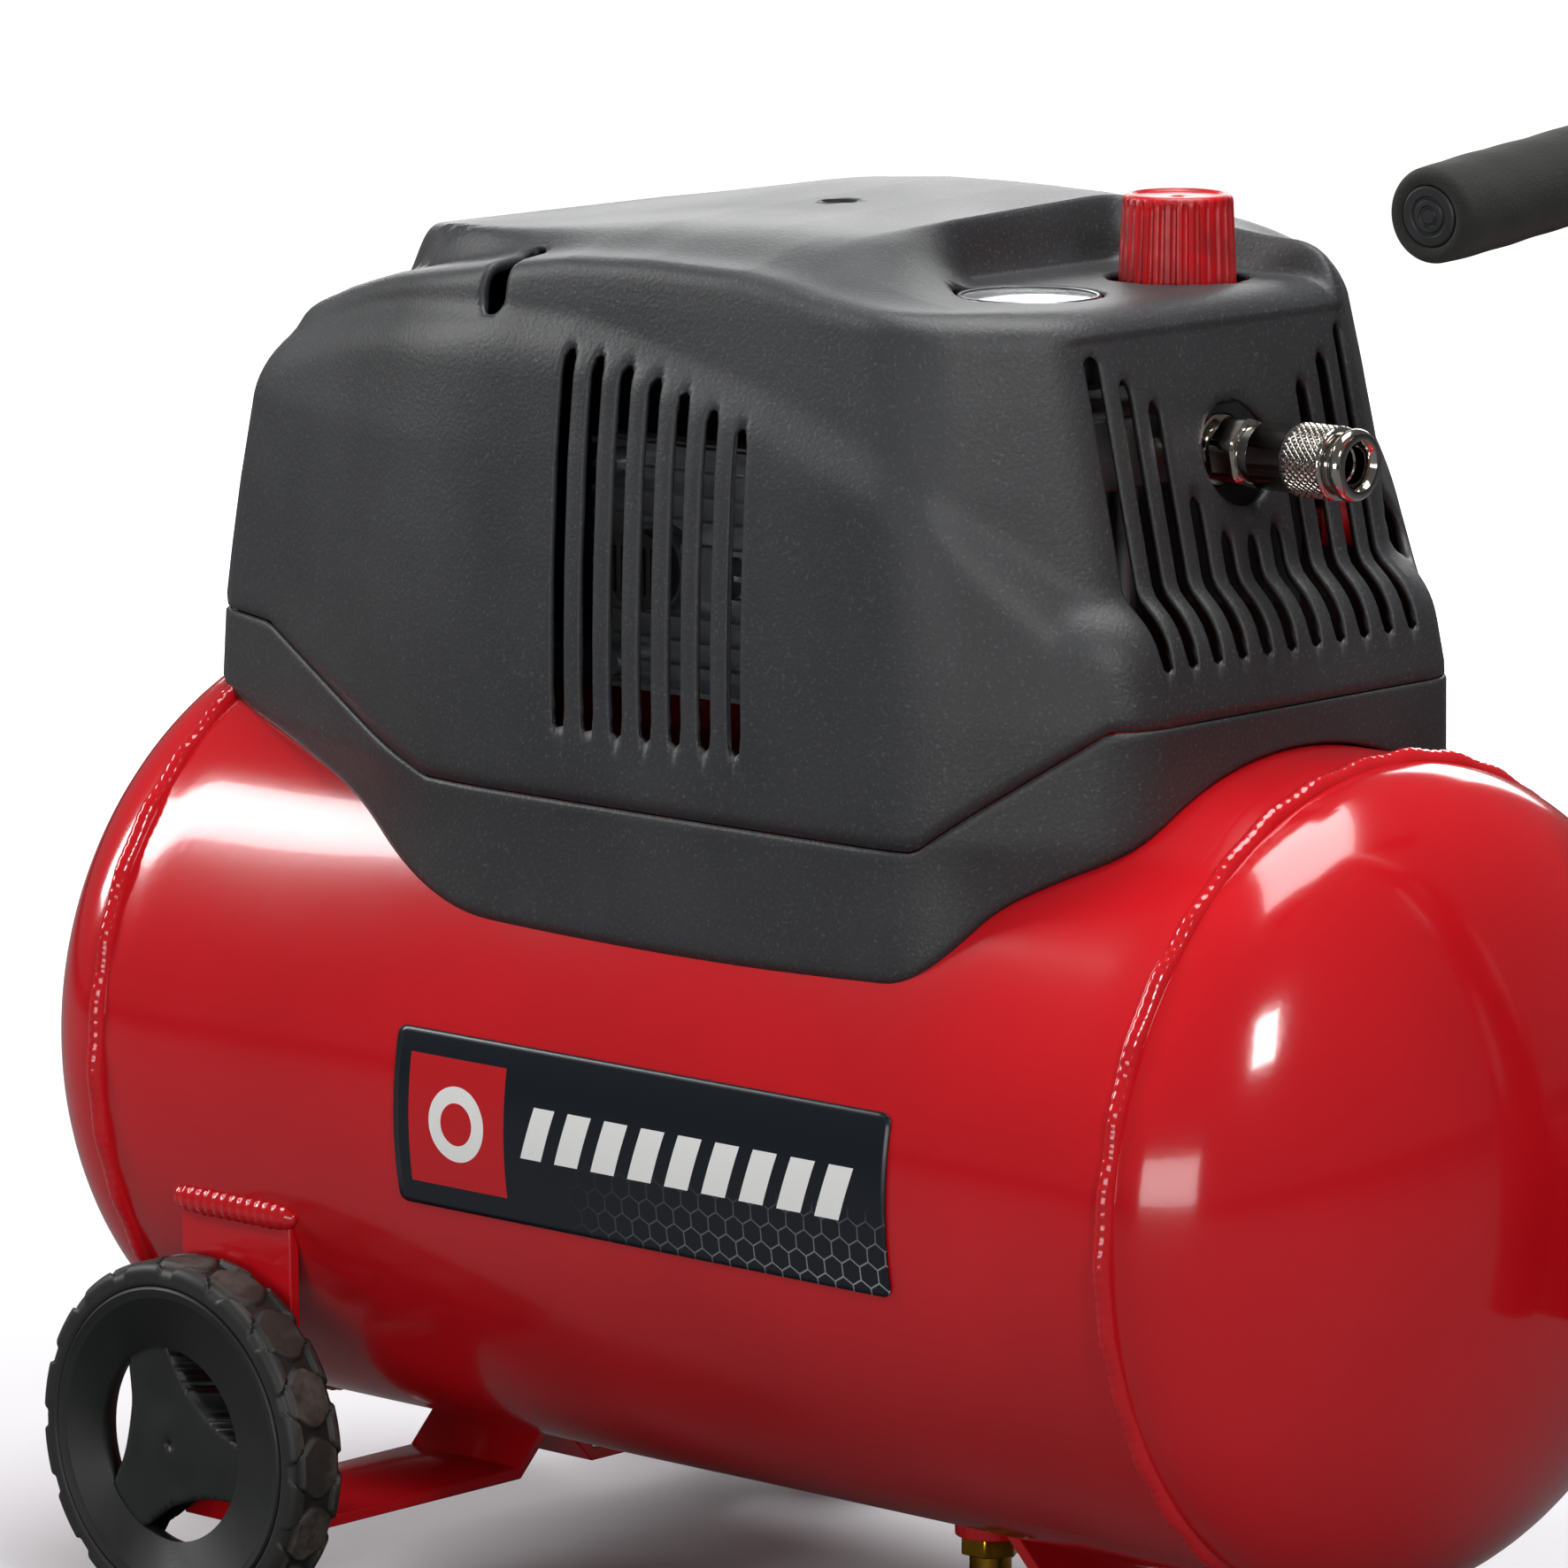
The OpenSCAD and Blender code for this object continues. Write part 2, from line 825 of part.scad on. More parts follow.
module cylinder_barrel() {
    fins = 4;
    color(alu) at_tank() translate([pump_x, 0, crank_z]) difference() {
        union() {
            rod_y(-72, -27, bore_r + 3.5, $fn = 72);
            block([-flange_half, -72, -flange_half], [flange_half, -69, flange_half]);
            block([-23, -32, -28], [23, -26.5, 28]);
            for (k = [-fins : fins])
                block([-fin_half, -66, k * fin_pitch - 0.8], [fin_half, -37, k * fin_pitch + 0.8]);
        }
        rod_y(-73, -26, bore_r, $fn = 72);
    }
}

// head with its valve plate, cooling ribs and two ports
module cylinder_head() {
    ribs = 5;
    color(alu) at_tank() translate([pump_x, 0, crank_z]) {
        block([-flange_half, head_y, -flange_half], [flange_half, -72, flange_half]);
        block([-fin_half, head_y - 8, -fin_half], [fin_half, head_y, fin_half]);
        for (k = [-ribs : ribs])
            block([-fin_half, head_y - 13, k * fin_pitch - 0.8],
                  [fin_half, head_y - 8, k * fin_pitch + 0.8]);
        translate([-12, 0, 0]) rod_y(head_y - 15, head_y - 8, 13);
        translate([12, 0, 0]) rod_y(head_y - 15, head_y - 8, 8);
        for (x = [-bolt_off, bolt_off], z = [-bolt_off, bolt_off])
            translate([x, 0, z]) rod_y(head_y - 15, head_y - 8, 4.5);
    }
}

module air_filter() {
    color(black) at_tank() translate([pump_x - 12, 0, crank_z]) difference() {
        rod_y(head_y - 21, head_y - 15, 12);
        for (k = [-3 : 3]) translate([k * 3, 0, 0]) block([-0.6, -97, -7], [0.6, -93, 7]);
    }
}

module outlet_pipe() {
    bend = 12;
    pipe_r = 4;
    turn_x = valve_place[0] - bend;
    y = head_y - 4;
    color(alu) at_tank() translate([0, y, crank_z]) {
        rod_x(pump_x + fin_half, turn_x, pipe_r);
        translate([turn_x, 0, -bend]) rotate([90, 0, 0]) rotate_extrude(angle = 90)
            translate([bend, 0]) circle(r = pipe_r);
        translate([valve_place[0], 0, 0]) rod_z(126 - crank_z, -bend, pipe_r);
    }
}

module check_valve() {
    color(brass) at_tank() translate(valve_place) {
        rod_z(boss_top, 116, 10.5, $fn = 6);
        rod_z(116, 126, 8);
    }
}

// ---- handle ----

module bar_arm(side, r, from, to) {
    far = [bar_sweep, side * bar_half, -bar_drop];
    length = norm(far);
    translate([handle_x, 0, bar_z])
        rotate([0, 0, atan2(far[1], far[0])]) rotate([0, acos(far[2] / length), 0])
            translate([0, 0, from * length]) cylinder(r = r, h = (to - from) * length);
}

// post, cross bar and the plate that runs from the post to the tank's end
module handle_post() {
    r = post_d / 2;
    plate_y = 66;
    color(red) at_tank() difference() {
        union() {
            translate([post_x, post_y, 0]) rod_z(-45, bar_z - 4, r);
            for (s = [-1, 1]) bar_arm(s, bar_d / 2, 0, 0.97);
            translate([handle_x, 0, bar_z]) sphere(r = bar_d / 2);
            hull() {
                block([228, plate_y, -45], [236, plate_y + 8, 25]);
                block([post_x - 6, post_y + 2, -45], [post_x, post_y + r - 2, 25]);
            }
        }
        translate([post_x, post_y, 0]) rod_z(-46, bar_z - 20, r - 2);
        dome_solid(1);
    }
}

module handle_grips() {
    color(rubber) at_tank() for (s = [-1, 1]) difference() {
        bar_arm(s, grip_d / 2, 0.36, 1);
        bar_arm(s, bar_d / 2, 0, 0.97);
    }
}

tank_shell();
dome(-1);  // rear_dome
dome(1);  // front_dome
weld_beads();
tank_bosses();
front_label();
wheel_bracket(-1);  // left_wheel_bracket
wheel_bracket(1);  // right_wheel_bracket
axle_bolts();
axle_nuts();
wheel_rim(-1);  // left_wheel_rim
wheel_tyre(-1);  // left_wheel_tyre
wheel_rim(1);  // right_wheel_rim
wheel_tyre(1);  // right_wheel_tyre
foot_bracket();
rubber_foot();
foot_screw();
drain_valve();
drain_screw();
base_shell();
top_cover();
cover_screw();
cover_standoff();
cable_gland();
gauge_case();
gauge_dial();
gauge_needle();
gauge_lens();
outlet_block();
riser_pipe();
regulator_body();
regulator_knob();
outlet_nipple();
coupler_body();
coupler_sleeve();
pressure_switch();
switch_button();
safety_valve();
safety_ring();
motor_housing();
motor_end_shield();
stator_core();
rotor_shaft();
cooling_fan();
shaft_bearings();
capacitor();
pump_rails();
rubber_mounts();
mount_screws();
crankcase();
crankcase_cover();
connecting_rod();
piston_seal();
cylinder_barrel();
cylinder_head();
air_filter();
outlet_pipe();
check_valve();
handle_post();
handle_grips();
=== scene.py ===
"""Oil-free air compressor on a lying tank: its looks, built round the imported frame.

Laid out as a Blender add-on and run as a script. Lengths inside the makers are millimetres,
with x from the middle of the tank and z from its axis; place() turns them into the row's metres.
"""

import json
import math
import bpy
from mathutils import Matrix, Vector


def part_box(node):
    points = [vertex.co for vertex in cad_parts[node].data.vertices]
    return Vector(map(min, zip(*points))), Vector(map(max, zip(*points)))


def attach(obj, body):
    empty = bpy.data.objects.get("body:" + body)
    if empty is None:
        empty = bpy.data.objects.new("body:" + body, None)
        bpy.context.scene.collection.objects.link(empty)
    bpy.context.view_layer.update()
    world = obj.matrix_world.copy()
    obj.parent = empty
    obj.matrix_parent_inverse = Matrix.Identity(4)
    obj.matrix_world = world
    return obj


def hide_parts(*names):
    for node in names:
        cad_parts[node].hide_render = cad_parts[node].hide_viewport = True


bl_info = {
    "name": "Lying tank air compressor",
    "version": (1, 0, 0),
    "blender": (4, 5, 0),
    "location": "3D View > Sidebar > Compressor",
    "description": "Builds the visible pieces of the compressor round its packed frame",
    "category": "Object",
}

import bmesh
import bpy
import numpy as np
from mathutils import Vector

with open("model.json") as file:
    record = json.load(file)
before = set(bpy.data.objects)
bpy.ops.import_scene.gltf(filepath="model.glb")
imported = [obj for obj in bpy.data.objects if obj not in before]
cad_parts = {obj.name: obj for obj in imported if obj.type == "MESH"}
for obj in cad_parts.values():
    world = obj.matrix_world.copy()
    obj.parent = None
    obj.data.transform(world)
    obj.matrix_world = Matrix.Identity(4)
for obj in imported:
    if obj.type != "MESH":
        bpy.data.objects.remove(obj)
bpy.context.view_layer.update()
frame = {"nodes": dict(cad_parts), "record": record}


def span(node):
    """Lowest and highest corner of a CAD node in metres, as arrays."""
    low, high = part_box(node)
    return np.array(low[:]), np.array(high[:])


def middle(*nodes):
    """Middle of the box round some CAD nodes, in metres."""
    lows, highs = zip(*(span(n) for n in nodes))
    return (np.min(lows, axis=0) + np.max(highs, axis=0)) / 2


TANK = middle("tank_shell")
TANK_LOW, TANK_HIGH = span("tank_shell")
TANK_R = float(TANK_HIGH[2] - TANK_LOW[2]) * 500
TANK_HALF = float(TANK_HIGH[0] - TANK_LOW[0]) * 500
DOME_H = float(span("front_dome")[1][0] - TANK_HIGH[0]) * 1000


def place(points):
    """Points in millimetres from the tank's middle, as metres in the row frame."""
    return np.asarray(points, float) * 0.001 + TANK


def tank_mm(point):
    """A point of the row frame in metres, as millimetres from the tank's middle."""
    return (np.asarray(point, float) - TANK) * 1000


# ---- meshes ----


def make_piece(name, points, faces, material, body="root", stands_for=(), crease=40, uv=None):
    """A mesh piece from points in millimetres and index faces, smooth up to the crease angle."""
    mesh = bpy.data.meshes.new(name)
    faces = [list(f) for f in faces] if isinstance(faces, list) else faces.tolist()
    mesh.from_pydata(place(points).tolist(), [], faces)
    return finish_piece(name, mesh, material, body, stands_for, crease, uv)


def finish_piece(name, mesh, material, body, stands_for, crease, uv=None):
    """Object for a mesh, with its shading, material, body and the CAD nodes that it stands for."""
    if uv is not None:
        layer = mesh.uv_layers.new(name="UVMap")
        index = np.empty(len(mesh.loops), np.int32)
        mesh.loops.foreach_get("vertex_index", index)
        layer.data.foreach_set("uv", np.asarray(uv, np.float32)[index].ravel())
    mesh.validate()
    mesh.shade_smooth()
    mesh.set_sharp_from_angle(angle=math.radians(crease))
    mesh.materials.append(material)
    piece = bpy.data.objects.new(name, mesh)
    bpy.context.scene.collection.objects.link(piece)
    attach(piece, body)
    if stands_for:
        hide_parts(*stands_for)
    return piece


def grid(rows, cols, close_rows=False, close_cols=False):
    """Quads of a rows x cols grid of points stored row by row, optionally joined round."""
    r = np.arange(rows if close_rows else rows - 1)[:, None]
    c = np.arange(cols if close_cols else cols - 1)[None, :]
    r2, c2 = (r + 1) % rows, (c + 1) % cols
    corners = [r * cols + c, r * cols + c2, r2 * cols + c2, r2 * cols + c]
    return np.stack([np.broadcast_to(k, (r.size, c.size)) for k in corners], -1).reshape(-1, 4)


def turned(profile, count, axis, centre, radius=None, turn=0.0):
    """A profile of (along, radius) pairs turned about an axis.

    Point = centre + along * axis + r * (cos t * side + sin t * up), r from the profile, or from
    radius(t, profile row) where a pattern changes it. Ends on the axis are closed by merging.
    """
    profile = np.asarray(profile, float)
    axis = np.asarray(axis, float) / np.linalg.norm(axis)
    side = np.cross(axis, [0, 0, 1.0] if abs(axis[2]) < 0.9 else [0, 1.0, 0])
    side /= np.linalg.norm(side)
    up = np.cross(axis, side)
    t = np.linspace(0, 2 * np.pi, count, endpoint=False)[None, :] + turn
    along = np.broadcast_to(profile[:, :1], (len(profile), count))
    r = np.broadcast_to(profile[:, 1:2], along.shape)
    if radius is not None:
        r = radius(t, along, r)
    points = (np.asarray(centre, float) + along[..., None] * axis
              + (r * np.cos(t))[..., None] * side + (r * np.sin(t))[..., None] * up)
    return points.reshape(-1, 3), grid(len(profile), count, close_cols=True)


def join(*parts):
    """Several (points, faces) pairs as one pair."""
    points, faces, start = [], [], 0
    for p, f in parts:
        points.append(p)
        faces.append(np.asarray(f) + start)
        start += len(p)
    return np.concatenate(points), np.concatenate(faces)


def arc(middle_pair, radius, start, end, steps):
    """Points of a circular arc in a profile's (along, radius) plane, angles in degrees."""
    a = np.radians(np.linspace(start, end, steps))
    return np.stack([middle_pair[0] + radius * np.cos(a), middle_pair[1] + radius * np.sin(a)], -1)


def clean(piece, weld=1e-6):
    """Merges doubled points, drops empty faces and turns every face of a closed piece outwards."""
    bm = bmesh.new()
    bm.from_mesh(piece.data)
    bmesh.ops.remove_doubles(bm, verts=bm.verts, dist=weld)
    bmesh.ops.dissolve_degenerate(bm, edges=bm.edges, dist=weld)
    bmesh.ops.recalc_face_normals(bm, faces=bm.faces)
    bm.to_mesh(piece.data)
    bm.free()
    return piece


def shell(piece, thickness):
    """Gives an open surface its wall, inwards, of a thickness in metres."""
    wall = piece.modifiers.new("Wall", "SOLIDIFY")
    wall.thickness = thickness
    wall.offset = -1
    return piece


def softened(node, material, width, body="root", sharp=35):
    """A CAD node's own shape with its loose triangles merged and its edges rounded by width mm."""
    source = frame["nodes"][node]
    mesh = source.data.copy()
    mesh.materials.clear()
    bm = bmesh.new()
    bm.from_mesh(mesh)
    bmesh.ops.remove_doubles(bm, verts=bm.verts, dist=2e-6)
    bmesh.ops.dissolve_limit(bm, angle_limit=math.radians(1), verts=bm.verts, edges=bm.edges)
    bmesh.ops.recalc_face_normals(bm, faces=bm.faces)
    bm.to_mesh(mesh)
    bm.free()
    piece = finish_piece(node + "_looks", mesh, material, body, (node,), sharp)
    edge = piece.modifiers.new("Edges", "BEVEL")
    edge.width = width / 1000
    edge.segments = 2
    edge.limit_method = "ANGLE"
    edge.angle_limit = math.radians(sharp)
    edge.harden_normals = False
    return piece


SLOT_OF = {part["node"]: part["material_slot"] for part in frame["record"]["subparts"]}

# ---- materials ----


def linear(colour):
    """An sRGB hex colour such as 'c4161c' as linear RGBA."""
    parts = [int(colour[i:i + 2], 16) / 255 for i in (0, 2, 4)]
    return [c / 12.92 if c <= 0.04045 else ((c + 0.055) / 1.055) ** 2.4 for c in parts] + [1.0]


def add(tree, kind, inputs=None, **settings):
    """A node with its own settings, and its sockets given as values or as other nodes' outputs."""
    node = tree.nodes.new(kind)
    for key, value in settings.items():
        setattr(node, key, value)
    for key, value in (inputs or {}).items():
        if isinstance(value, bpy.types.NodeSocket):
            tree.links.new(value, node.inputs[key])
        else:
            node.inputs[key].default_value = value
    return node


def new_material(name):
    """An empty node material with its shader, its output and the piece's own coordinates."""
    material = bpy.data.materials.new(name)
    material.use_nodes = True
    tree = material.node_tree
    tree.nodes.clear()
    shader = add(tree, "ShaderNodeBsdfPrincipled")
    add(tree, "ShaderNodeOutputMaterial", {"Surface": shader.outputs[0]})
    place_of = add(tree, "ShaderNodeTexCoord").outputs["Object"]
    return material, tree, shader, place_of


def surface(name, colour, other, rough, grain, depth, patch=30.0, metal=0.0, swing=0.06, detail=3.0,
            kind="noise", **shader_values):
    """A material with colour patches, a moulded, cast or rolled grain and uneven gloss.

    colour and other are the two ends of the patches, patch their size and grain the grain's
    size in millimetres, depth its height in millimetres, and swing how far roughness wanders.
    """
    material, tree, shader, place_of = new_material(name)
    first, second = (linear(c) if isinstance(c, str) else (*c, 1.0) for c in (colour, other))
    patches = add(tree, "ShaderNodeTexNoise",
                  {"Vector": place_of, "Scale": 1000 / patch, "Detail": 3.0}).outputs[0]
    if kind == "noise":
        grains = add(tree, "ShaderNodeTexNoise",
                     {"Vector": place_of, "Scale": 1000 / grain, "Detail": detail}).outputs[0]
    else:
        grains = add(tree, "ShaderNodeTexVoronoi",
                     {"Vector": place_of, "Scale": 1000 / grain}, feature="SMOOTH_F1").outputs[0]
    spread = add(tree, "ShaderNodeMapRange", {0: patches, 1: 0.35, 2: 0.65}).outputs[0]
    tint = add(tree, "ShaderNodeMix", {0: spread, 6: first, 7: second}, data_type="RGBA").outputs[2]
    gloss = add(tree, "ShaderNodeMapRange", {0: patches, 1: 0.3, 2: 0.7, 3: rough - swing, 4: rough + swing})
    bump = add(tree, "ShaderNodeBump", {"Height": grains, "Distance": depth / 1000, "Strength": 1.0})
    tree.links.new(tint, shader.inputs["Base Color"])
    tree.links.new(gloss.outputs[0], shader.inputs["Roughness"])
    tree.links.new(bump.outputs[0], shader.inputs["Normal"])
    shader.inputs["Metallic"].default_value = metal
    for key, value in shader_values.items():
        shader.inputs[key.replace("_", " ")].default_value = value
    return material, tree, shader, place_of


def red_enamel(colour, dark):
    """Baked gloss enamel sprayed on steel: deep red, a clear wet gloss and a faint orange peel."""
    return surface("baked_red_enamel", colour, dark, 0.16, 3.0, 0.02, 90, swing=0.03, detail=1.0,
                   Coat_Weight=0.3, Coat_Roughness=0.04, Specular_IOR_Level=0.5)[0]


def spark_grained_abs(colour, light):
    """Moulded ABS with a spark-eroded grain and light flecks painted in as the grain's glints; the real 0.3 mm grit
    is drawn at 1 mm to show.
    """
    material, tree, shader, place_of = surface(
        "spark_grained_abs", colour, light, 0.5, 1.3, 0.16, 60, swing=0.04, detail=4.0)
    # light grey flecks mixed into the base colour: painted glints, the highlights of the grain's peaks
    painted_glint_flecks = add(tree, "ShaderNodeTexNoise", {"Vector": place_of, "Scale": 950.0, "Detail": 3.0}).outputs[0]
    bright = add(tree, "ShaderNodeMapRange", {0: painted_glint_flecks, 1: 0.58, 2: 0.72, 4: 0.34}).outputs[0]
    base = shader.inputs["Base Color"].links[0].from_socket
    tint = add(tree, "ShaderNodeMix", {0: bright, 6: base, 7: linear("6c6e70")}, data_type="RGBA").outputs[2]
    tree.links.new(tint, shader.inputs["Base Color"])
    return material


def dusty_tread():
    """Moulded rubber-like tyre with pale brown dust on the tread, worn off in patches."""
    material, tree, shader, place_of = surface(
        "dusty_tyre_plastic", "1b1c1b", "232422", 0.55, 1.4, 0.05, 25)
    dust = add(tree, "ShaderNodeTexNoise", {"Vector": place_of, "Scale": 55.0, "Detail": 6.0}).outputs[0]
    fine = add(tree, "ShaderNodeTexNoise", {"Vector": place_of, "Scale": 420.0, "Detail": 4.0}).outputs[0]
    wear = add(tree, "ShaderNodeAttribute", attribute_name="tread").outputs["Fac"]
    patchy = add(tree, "ShaderNodeMapRange", {0: dust, 1: 0.44, 2: 0.56, 3: 0.25}).outputs[0]
    speck = add(tree, "ShaderNodeMapRange", {0: fine, 1: 0.3, 2: 0.6, 3: 0.5}).outputs[0]
    amount = add(tree, "ShaderNodeMath", {0: patchy, 1: wear}, operation="MULTIPLY").outputs[0]
    amount = add(tree, "ShaderNodeMath", {0: amount, 1: speck}, operation="MULTIPLY").outputs[0]
    base = shader.inputs["Base Color"].links[0].from_socket
    tint = add(tree, "ShaderNodeMix", {0: amount, 6: base, 7: linear("5a524b")}, data_type="RGBA").outputs[2]
    tree.links.new(tint, shader.inputs["Base Color"])
    matt = add(tree, "ShaderNodeMapRange", {0: amount, 3: 0.5, 4: 0.85}).outputs[0]
    tree.links.new(matt, shader.inputs["Roughness"])
    return material


# the label's pattern, in millimetres from its lower left corner: each row makes one node from
# numbers and from earlier rows by name. slant and across say how far a spot is from its cell's
# middle towards the sides of the hexagon
LABEL_PATTERN = (
    ("out", "Math", "MAXIMUM", "slant", "across"),
    ("edge", "MapRange", None, "out", 3.18, 3.38),
    ("to_right", "MapRange", None, "x", 70.0, 190.0),
    ("to_foot", "MapRange", None, "y", 26.0, 4.0),
    ("fade", "Math", "MULTIPLY", "to_right", "to_foot"),
    ("faded", "Math", "MULTIPLY", "edge", "fade"),
    ("honeycomb", "Math", "MULTIPLY", "faded", 0.75),
    ("after_left", "Math", "GREATER_THAN", "x", 6.5),
    ("before_right", "Math", "LESS_THAN", "x", 46.5),
    ("over_foot", "Math", "GREATER_THAN", "y", 7.5),
    ("under_head", "Math", "LESS_THAN", "y", 47.0),
    ("block_wide", "Math", "MULTIPLY", "after_left", "before_right"),
    ("block_tall", "Math", "MULTIPLY", "over_foot", "under_head"),
    ("block", "Math", "MULTIPLY", "block_wide", "block_tall"),
    ("dx", "Math", "SUBTRACT", "x", 26.5),
    ("dy", "Math", "SUBTRACT", "y", 27.3),
    ("dx2", "Math", "MULTIPLY", "dx", "dx"),
    ("dy2", "Math", "MULTIPLY", "dy", "dy"),
    ("away2", "Math", "ADD", "dx2", "dy2"),
    ("away", "Math", "SQRT", "away2"),
    ("past_inner", "Math", "GREATER_THAN", "away", 6.5),
    ("short_of_outer", "Math", "LESS_THAN", "away", 11.5),
    ("ring", "Math", "MULTIPLY", "past_inner", "short_of_outer"),
    ("tilt", "Math", "MULTIPLY", "y", 0.35),
    ("lean", "Math", "SUBTRACT", "x", "tilt"),
    ("in_pitch", "Math", "WRAP", "lean", 15.0, 0.0),
    ("bars", "Math", "LESS_THAN", "in_pitch", 9.5),
    ("row_foot", "Math", "GREATER_THAN", "y", 21.0),
    ("row_head", "Math", "LESS_THAN", "y", 37.0),
    ("row_tall", "Math", "MULTIPLY", "row_foot", "row_head"),
    ("row_start", "Math", "GREATER_THAN", "lean", 46.0),
    ("row_end", "Math", "LESS_THAN", "lean", 180.0),
    ("row_wide", "Math", "MULTIPLY", "row_start", "row_end"),
    ("row", "Math", "MULTIPLY", "row_tall", "row_wide"),
    ("bar_row", "Math", "MULTIPLY", "bars", "row"),
    ("marks", "Math", "MAXIMUM", "ring", "bar_row"),
)
LABEL_SIZE = (200.0, 54.5, 0.0)


def printed_label(navy, red):
    """Printed vinyl film: navy ground, a red block with a plain white ring, white stripes and a
    fading honeycomb of 7 mm cells. It follows the film's own UV map."""
    material, tree, shader, _ = new_material("printed_vinyl_film")
    uv = add(tree, "ShaderNodeTexCoord").outputs["UV"]
    size = add(tree, "ShaderNodeVectorMath", {0: uv, 1: LABEL_SIZE}, operation="MULTIPLY").outputs[0]
    xy = add(tree, "ShaderNodeSeparateXYZ", {0: size})
    x, y = xy.outputs[0], xy.outputs[1]
    # two crossed grids of cells; each spot belongs to the nearer middle
    cell = (7.0, 7.0 * math.sqrt(3), 1.0)
    half = tuple(c / 2 for c in cell)
    wrap = {1: half, 2: tuple(-c / 2 for c in cell)}
    flat = add(tree, "ShaderNodeCombineXYZ", {0: x, 1: y}).outputs[0]
    moved = add(tree, "ShaderNodeVectorMath", {0: flat, 1: half}, operation="ADD").outputs[0]
    one, two = (add(tree, "ShaderNodeVectorMath", {0: v, **wrap}, operation="WRAP").outputs[0]
                for v in (flat, moved))
    reach = [add(tree, "ShaderNodeVectorMath", {0: v}, operation="LENGTH").outputs["Value"]
             for v in (one, two)]
    nearer = add(tree, "ShaderNodeMath", {0: reach[0], 1: reach[1]}, operation="GREATER_THAN").outputs[0]
    spot = add(tree, "ShaderNodeMix", {0: nearer, 4: one, 5: two}, data_type="VECTOR").outputs[1]
    spot = add(tree, "ShaderNodeVectorMath", {0: spot}, operation="ABSOLUTE").outputs[0]
    slant = add(tree, "ShaderNodeVectorMath", {0: spot, 1: (0.5, math.sqrt(0.75), 0.0)},
                operation="DOT_PRODUCT").outputs["Value"]
    across = add(tree, "ShaderNodeSeparateXYZ", {0: spot}).outputs[0]
    made = {"x": x, "y": y, "slant": slant, "across": across}
    for name, kind, operation, *values in LABEL_PATTERN:
        settings = {"operation": operation} if operation else {}
        sockets = {i: made[v] if isinstance(v, str) else v for i, v in enumerate(values)}
        made[name] = add(tree, "ShaderNode" + kind, sockets, **settings).outputs[0]
    ground = linear(navy)
    for mask, colour in (("honeycomb", "aeb4bd"), ("block", red), ("marks", "f2f2f0")):
        ground = add(tree, "ShaderNodeMix", {0: made[mask], 6: ground, 7: linear(colour)},
                     data_type="RGBA").outputs[2]
    tree.links.new(ground, shader.inputs["Base Color"])
    shader.inputs["Roughness"].default_value = 0.3
    shader.inputs["Coat Weight"].default_value = 0.1
    return material


